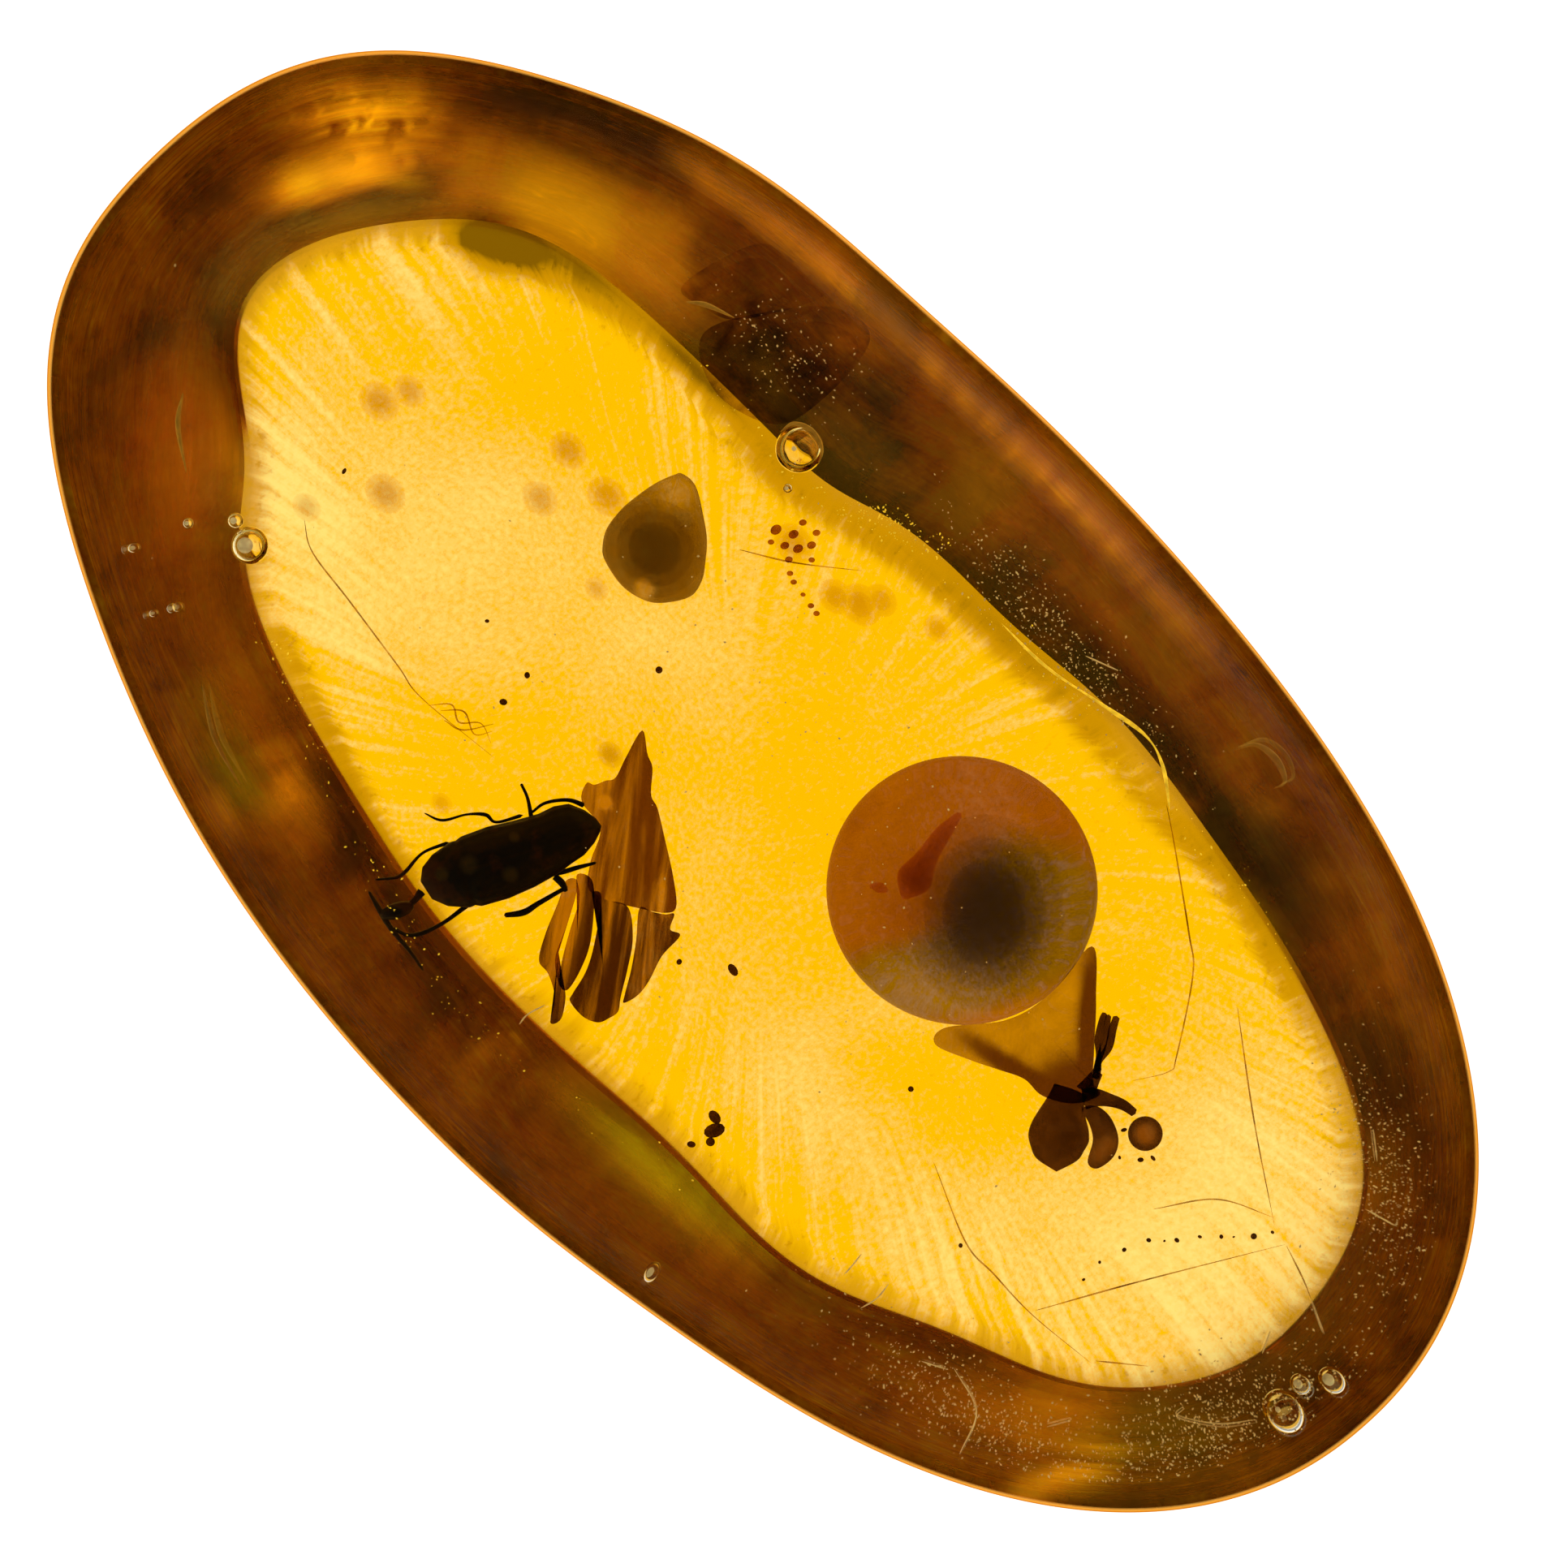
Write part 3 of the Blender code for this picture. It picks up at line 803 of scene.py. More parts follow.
beetle = {
    "front": (-2.54, -4.51), "tail": (-1.27, -2.01), "level": 5.7, "halfHeight": 0.42,
    # share of the way to the tail, half width towards the top of the view, then the other way
    "profile": (
        (0.0, 0.0, 0.0), (0.03, 0.19, 0.3), (0.1, 0.33, 0.47), (0.24, 0.46, 0.62), (0.42, 0.49, 0.63),
        (0.57, 0.46, 0.58), (0.7, 0.45, 0.5), (0.79, 0.49, 0.41), (0.87, 0.46, 0.34), (0.94, 0.3, 0.21),
        (0.985, 0.13, 0.08), (1.0, 0.0, 0.0)),
    "neckAt": 0.24, "neckSharpness": 120, "waistDepth": 0.07, "waistLength": 0.018, "seamDepth": 0.1,
    "seamWidth": 0.05, "grooves": 9, "grooveDepth": 0.016, "head": (-2.47, -5.06),
    "headRadii": (0.26, 0.12, 0.12), "headTurn": 63,
    # path as seen from above, half widths
    "legs": (
        (((-2.42, -4.59), (-2.4, -4.8), (-2.46, -5.02)), (0.07, 0.045, 0.05)),
        (((-2.98, -5.16), (-2.61, -5.25), (-2.32, -5.31), (-1.91, -5.34), (-1.55, -5.4)),
         (0.02, 0.045, 0.04, 0.03, 0.018)),
        (((-2.33, -5.28), (-2.1, -5.2), (-1.96, -5.0), (-1.86, -4.67), (-1.8, -4.22)),
         (0.025, 0.03, 0.035, 0.03, 0.04)),
        (((-3.03, -4.98), (-2.84, -4.74), (-2.8, -4.57), (-2.82, -4.19), (-2.66, -3.8)),
         (0.015, 0.025, 0.03, 0.022, 0.03)),
        (((-3.24, -3.77), (-2.97, -3.65), (-2.78, -3.33), (-2.58, -3.13), (-2.39, -3.09), (-2.19, -2.73)),
         (0.01, 0.022, 0.018, 0.03, 0.022, 0.03)),
        (((-2.55, -2.43), (-2.31, -2.52), (-1.98, -2.74)), (0.022, 0.026, 0.04)),
        (((-2.13, -2.62), (-2.09, -2.37), (-1.89, -2.1), (-1.66, -1.98)), (0.02, 0.025, 0.03, 0.04)),
        (((-1.32, -3.97), (-1.15, -3.73), (-1.09, -3.47), (-0.97, -2.99)), (0.035, 0.05, 0.04, 0.03)),
        (((-1.22, -3.03), (-1.07, -3.02), (-0.93, -3.06)), (0.05, 0.055, 0.03)),
        (((-1.42, -3.2), (-1.2, -2.93), (-1.07, -2.69), (-0.93, -2.44)), (0.05, 0.04, 0.035, 0.02))),
    "colour": (0.012, 0.007, 0.003, 1), "edgeColour": (0.1, 0.03, 0.008, 1),
    "spotColour": (0.11, 0.08, 0.015, 1), "patchNoise": (2600, 3, 0.6), "patchStep": (0.52, 0.8),
    "pitScale": 26000, "pitDepth": 0.01, "pitStrength": 0.25, "paleStep": (0.3, 1.2), "roughness": 0.32,
    "patchRoughness": 0.2, "headDrop": 0.1, "legDrop": 0.15,
    "paleSpots": ((-1.69, -3.48, 0.15), (-2.22, -3.82, 0.18), (-2.4, -4.21, 0.13), (-2.05, -3.05, 0.1)),
    # painted light at the front: a reddish spot for light coming through thin chitin
    "redSpots": ((-2.45, -4.62, 0.45, 0.45, 0, 0.3),),
}


def beetleGrid():
    # a spindle drawn from its two half width profiles, with a waist behind the shield, a seam
    # down the back and fine lengthwise grooves
    rows, around = 90, 96
    shares, towards, away = np.array(beetle["profile"]).T
    along = (1 - np.cos(np.linspace(0, np.pi, rows))[:, None]) / 2
    circle = np.linspace(0, 2 * np.pi, around, endpoint=False)[None, :]
    half = np.where(np.cos(circle) > 0, np.interp(along, shares, towards), np.interp(along, shares, away))
    girth = np.sin(np.pi * along) ** 0.5
    pastNeck = along - beetle["neckAt"]
    waist = 1 - beetle["waistDepth"] * np.exp(-(pastNeck / beetle["waistLength"]) ** 2)
    behind = 1 / (1 + np.exp(-pastNeck * beetle["neckSharpness"]))
    nearSeam = np.exp(-(np.cos(circle) / beetle["seamWidth"]) ** 2) * (np.sin(circle) > 0)
    seam = 1 - beetle["seamDepth"] * behind * nearSeam
    ripple = (0.5 + 0.5 * np.cos(2 * beetle["grooves"] * circle)) ** 3
    grooves = 1 - beetle["grooveDepth"] * behind * ripple
    front, tail = np.array(beetle["front"]), np.array(beetle["tail"])
    axis = (tail - front) / np.linalg.norm(tail - front)
    side = np.array([-axis[1], axis[0]])
    wide = half * waist * np.cos(circle) * seam * grooves
    high = beetle["halfHeight"] * girth * waist * np.sin(circle) * seam * grooves
    flat = front + (tail - front) * along[..., None] + wide[..., None] * side
    return np.concatenate([flat, (beetle["level"] + high)[..., None]], axis=-1)


def chitinMaterial():
    shop = Shop("chitin")
    place = shop.place()
    patches = shop.noise(place, *beetle["patchNoise"])
    # reddish in random patches, the chitin's own tone, and in the painted red spot at the front
    reddish = shop.step(patches + shop.attribute("red"), *beetle["patchStep"])
    colour = shop.mix(reddish, beetle["colour"], beetle["edgeColour"])
    colour = shop.mix(shop.step(shop.attribute("pale"), *beetle["paleStep"]), colour, beetle["spotColour"])
    pits = shop.cells(place, beetle["pitScale"])
    shader = shop.principled(
        Base_Color=colour, Roughness=beetle["roughness"] + beetle["patchRoughness"] * patches,
        Specular_IOR_Level=0.3, Normal=shop.bump(pits, beetle["pitStrength"], beetle["pitDepth"] * mm))
    return shop.close(shader)


def addBeetle():
    chitin = chitinMaterial()

    def add(name, grids):
        seen = np.concatenate([closedValues(grid) for grid in grids])
        pale = spotField(seen, [(x, y, radius, radius, 0, 1) for x, y, radius in beetle["paleSpots"]])
        red = spotField(seen, beetle["redSpots"])
        shapes = [closedShape(sink(grid)) for grid in grids]
        addPiece(name, *joinShapes(shapes), chitin, {"pale": pale, "red": red})

    add("beetleBody", [beetleGrid()])
    headCentre = (*beetle["head"], beetle["level"] - beetle["headDrop"])
    add("beetleHead", [ballGrid(headCentre, beetle["headRadii"], turn=beetle["headTurn"])])
    add("beetleLegs", strands(beetle["legs"], beetle["level"] - beetle["legDrop"], count=40))


addBeetle()
print("beetle made")


# the torn plant scale beside the beetle

bract = {
    "level": 5.15, "gap": 0.09, "thickness": 0.07, "fanThickness": 0.09,
    "plate": (
        (-1.87, -0.59), (-1.56, -0.78), (-1.36, -0.87), (-1.09, -1.16), (-0.88, -1.23), (-0.49, -1.46),
        (0.0, -1.76), (0.36, -2.04), (0.32, -2.22), (0.02, -2.44), (-0.4, -2.7), (-0.73, -2.8),
        (-1.01, -2.48), (-1.25, -2.05), (-1.73, -1.97), (-1.88, -1.73), (-1.78, -1.66), (-1.71, -1.5),
        (-1.64, -1.36), (-1.75, -1.04)),
    "fan": (
        (
            (0.0, -2.45), (0.17, -2.35), (0.33, -2.24), (0.42, -2.14), (0.54, -2.34), (0.71, -2.3),
            (0.74, -2.7), (0.87, -3.09), (0.91, -3.36), (0.85, -3.59), (0.77, -3.5), (0.56, -3.16),
            (0.3, -2.81)),
        (
            (-0.66, -2.8), (-0.42, -2.71), (-0.13, -2.56), (0.25, -2.83), (0.51, -3.18), (0.75, -3.56),
            (0.88, -3.74), (0.86, -3.9), (0.79, -4.07), (0.57, -4.17), (0.28, -4.15), (0.22, -4.04),
            (0.12, -3.67), (-0.1, -3.28), (-0.52, -2.73)),
        (
            (-1.0, -2.78), (-0.84, -2.66), (-0.6, -2.8), (-0.16, -3.3), (0.04, -3.69), (0.13, -4.05),
            (0.0, -4.09), (-0.21, -3.86), (-0.47, -3.44), (-0.73, -2.98)),
        (
            (-1.05, -2.95), (-0.94, -2.83), (-0.77, -3.03), (-0.54, -3.46), (-0.34, -3.86), (-0.03, -4.09),
            (0.15, -4.12), (0.37, -4.42), (0.3, -4.58), (0.09, -4.28), (-0.24, -4.1), (-0.48, -4.06),
            (-0.7, -3.71), (-0.9, -3.26))),
    "film": {
        "dark": (0.13, 0.05, 0.008, 1), "pale": (0.5, 0.3, 0.12, 1), "scale": 4200, "mottle": 3.0,
        "fibreLength": 12, "fibreTurn": -50, "light": 0.37, "ior": 1.015,
        "lightSpots": (
            (-1.48, -1.73, 0.09, 0.09, 0, 1.2), (0.1, -2.1, 0.3, 0.1, -50, 0.5),
            (-0.1, -1.95, 0.55, 0.25, -35, -0.35))},
    "fanFilm": {
        "dark": (0.06, 0.022, 0.004, 1), "pale": (0.46, 0.26, 0.1, 1), "scale": 4800, "mottle": 3.2,
        "fibreLength": 12, "fibreTurn": -50, "light": 0.35, "ior": 1.015,
        "lightSpots": ((0.35, -3.6, 0.75, 0.35, -50, -0.35), (-0.6, -3.3, 1.0, 0.25, -55, 0.5))},
}


def addBract():
    level, gap = bract["level"], bract["gap"]
    plate = lensGrid(smoothLoop(bract["plate"], 90), level, bract["thickness"])
    addFilm("bractPlate", [plate], bract["film"])
    fan = [lensGrid(smoothLoop(outline, 80), level - gap, bract["fanThickness"]) for outline in bract["fan"]]
    addFilm("bractFan", fan, bract["fanFilm"])


addBract()
print("bract made")


# bubbles

teardrop = {
    "outline": (
        (-4.19, 2.48), (-3.91, 2.49), (-3.48, 2.24), (-3.23, 2.06), (-3.03, 1.84), (-2.85, 1.59),
        (-2.8, 1.29), (-3.03, 0.92), (-3.28, 0.75), (-3.64, 0.68), (-4.07, 0.76), (-4.25, 0.89),
        (-4.39, 1.12), (-4.44, 1.45), (-4.43, 1.69), (-4.39, 1.99), (-4.34, 2.19), (-4.27, 2.37)),
    "centre": (-3.62, 1.45), "level": 4.9, "thickness": 1.3,
    "film": {
        "dark": (0.22, 0.15, 0.05, 1), "pale": (0.55, 0.42, 0.3, 1), "scale": 1400, "mottle": 1.2,
        "light": 0.2, "ior": 1.03,
        "lightSpots": (
            (-3.36, 0.91, 0.15, 0.13, 0, 1.1), (-4.05, 2.2, 0.28, 0.28, 0, 0.4),
            (-3.66, 1.52, 0.66, 0.62, 0, -0.25))},
    "murk": (-3.68, 1.42), "murkRadii": (0.74, 0.7, 0.5),
    "murkFilm": {
        "dark": (0.78, 0.72, 0.5, 1), "pale": (1.0, 0.98, 0.85, 1), "scale": 1500, "mottle": 1.6,
        "light": 0.6, "absorb": ((0.22, 0.22, 0.1, 1), 600.0)},
}
largeBubble = {
    "centre": (3.13, 1.17), "radius": 2.02, "squash": (1.0, 0.985, 0.97), "turn": 20, "level": 4.45,
    "film": {
        "dark": (0.22, 0.085, 0.06, 1), "pale": (0.46, 0.24, 0.22, 1), "coolDark": (0.13, 0.1, 0.24, 1),
        "coolPale": (0.34, 0.27, 0.5, 1), "scale": 620, "mottle": 1.0, "light": 0.5, "ior": 1.015,
        "lightSpots": ((4.28, -0.03, 1.4, 0.6, 40, 0.35), (3.5, 1.2, 1.2, 1.1, 40, -0.25)),
        "coolSpots": ((4.1, 1.7, 1.5, 1.3, 40, 0.9), (3.6, -0.35, 1.5, 0.75, 45, 0.8))},
    "core": (3.6, 1.18), "coreRadii": (1.45, 1.15, 1.0), "coreTurn": -45,
    "coreFilm": {
        "dark": (1, 1, 1, 1), "pale": (0.97, 0.97, 0.97, 1), "scale": 700, "mottle": 1.0, "light": 0.5,
        "absorb": ((0.2, 0.15, 0.1, 1), 520.0)},
    "streaks": (
        (((2.3, 1.95), (2.35, 1.46), (2.5, 0.87), (2.62, 0.46)), (0.04, 0.12, 0.16, 0.26, 0.04)),
        (((2.14, 0.24), (2.26, 0.33), (2.38, 0.38)), (0.02, 0.08, 0.03))),
    "streakFilm": {
        "dark": (0.9, 0.5, 0.5, 1), "pale": (1, 0.9, 0.9, 1), "scale": 900, "mottle": 0.8, "light": 0.5,
        "absorb": ((0.42, 0.1, 0.0, 1), 2800.0)},
    "horn": (
        (5.06, 1.98), (5.66, 1.49), (6.16, 0.97), (6.54, 0.58), (6.73, 0.52), (6.53, 0.14), (6.14, -0.09),
        (5.78, -0.11), (5.41, -0.29), (5.02, -0.49), (4.5, -0.7), (4.42, -0.42), (4.96, 0.3), (5.13, 0.99)),
    "hornFilm": {
        "dark": (0.12, 0.05, 0.03, 1), "pale": (0.8, 0.6, 0.24, 1), "scale": 900, "mottle": 0.8,
        "light": 0.5, "ior": 1.015,
        "lightSpots": (
            (5.95, 1.14, 1.05, 0.2, -44, -0.75), (5.66, -0.1, 0.95, 0.16, 12, -0.6),
            (6.3, 0.33, 0.45, 0.4, 0, -0.45))},
    "hornThickness": 1.1, "hornLevel": 4.5, "hornCentre": (5.6, 0.6), "streakRise": 0.4,
}
cluster = {
    "level": 4.6,
    "pear": (((6.36, 0.3), (6.5, 0.02), (6.68, -0.24), (6.84, -0.44), (7.1, -0.72)),
             (0.26, 0.27, 0.3, 0.36, 0.42, 0.45, 0.45, 0.4, 0.3, 0.0)),
    "lens": (
        (6.69, 0.2), (6.8, 0.38), (7.07, 0.42), (7.38, 0.29), (7.53, 0.05), (7.49, -0.25), (7.32, -0.29),
        (7.14, -0.01), (6.93, 0.12)),
    "lensThickness": 0.5, "upperRise": 0.1, "armRise": 0.15, "lensCentre": (7.2, 0.15),
    "balls": ((7.61, 0.62, 0.26),),
    "arms": (
        (((6.6, 0.3), (6.7, 0.45), (6.88, 0.58), (7.08, 0.68), (7.3, 0.72)), (0.16, 0.14, 0.1, 0.08, 0.06)),
        (((6.55, 0.4), (6.5, 0.6), (6.46, 0.76)), (0.16, 0.11, 0.08)),
        (((6.52, 0.65), (6.43, 0.77), (6.29, 0.93), (6.11, 1.09), (5.95, 1.34), (5.91, 1.44)),
         (0.05, 0.06, 0.04, 0.05, 0.05, 0.04)),
        (((6.46, 0.74), (6.38, 0.82), (6.26, 1.04), (6.11, 1.26), (5.96, 1.46)),
         (0.04, 0.04, 0.05, 0.05, 0.04)),
        (((6.46, 0.76), (6.36, 0.87), (6.31, 1.12), (6.16, 1.35), (6.06, 1.53)),
         (0.05, 0.05, 0.06, 0.06, 0.05))),
    "film": {
        "dark": (0.025, 0.01, 0.005, 1), "pale": (0.22, 0.1, 0.04, 1), "scale": 1500, "mottle": 1.1,
        "light": 0.28, "ior": 1.03,
        "lightSpots": (
            (6.86, -0.4, 0.28, 0.28, 0, -0.05), (7.61, 0.62, 0.15, 0.15, 0, 0.7),
            (7.35, 0.0, 0.15, 0.3, 0, 0.3))},
}


def addTeardrop():
    outline = smoothLoop(teardrop["outline"], 96)
    body = lensGrid(outline, teardrop["level"], teardrop["thickness"], rings=18, centre=teardrop["centre"])
    addFilm("teardropBubble", [body], teardrop["film"])
    murk = (*teardrop["murk"], teardrop["level"])
    addMurk("teardropMurk", murk, teardrop["murkRadii"], 0, teardrop["murkFilm"])


def addLargeBubble():
    level = largeBubble["level"]
    radii = np.array(largeBubble["squash"]) * largeBubble["radius"]
    ball = ballGrid((*largeBubble["centre"], level), radii, rows=64, around=96, turn=largeBubble["turn"])
    addFilm("largeBubble", [ball], largeBubble["film"])
    addMurk("largeBubbleMurk", (*largeBubble["core"], level), largeBubble["coreRadii"],
            largeBubble["coreTurn"], largeBubble["coreFilm"])
    streaks = strands(largeBubble["streaks"], level + largeBubble["streakRise"], flatness=0.9, around=16)
    addFilm("largeBubbleStreak", streaks, largeBubble["streakFilm"])
    horn = lensGrid(smoothLoop(largeBubble["horn"], 110), largeBubble["hornLevel"],
                    largeBubble["hornThickness"], rings=16, centre=largeBubble["hornCentre"])
    addFilm("bubbleHorn", [horn], largeBubble["hornFilm"])


def addCluster():
    level = cluster["level"]
    upper = level + cluster["upperRise"]
    grids = strands([cluster["pear"]], level, flatness=0.9, around=40, count=72)
    lens = smoothLoop(cluster["lens"], 60)
    grids.append(lensGrid(lens, upper, cluster["lensThickness"], rings=12, centre=cluster["lensCentre"]))
    for x, y, radius in cluster["balls"]:
        grids.append(ballGrid((x, y, upper), (radius, radius, radius), rows=24, around=32))
    grids += strands(cluster["arms"], level + cluster["armRise"], flatness=0.8, around=14)
    addFilm("bubbleCluster", grids, cluster["film"])


addTeardrop()
addLargeBubble()
addCluster()
print("bubbles made")


# specks, cracks, hairs, dust and small bubbles

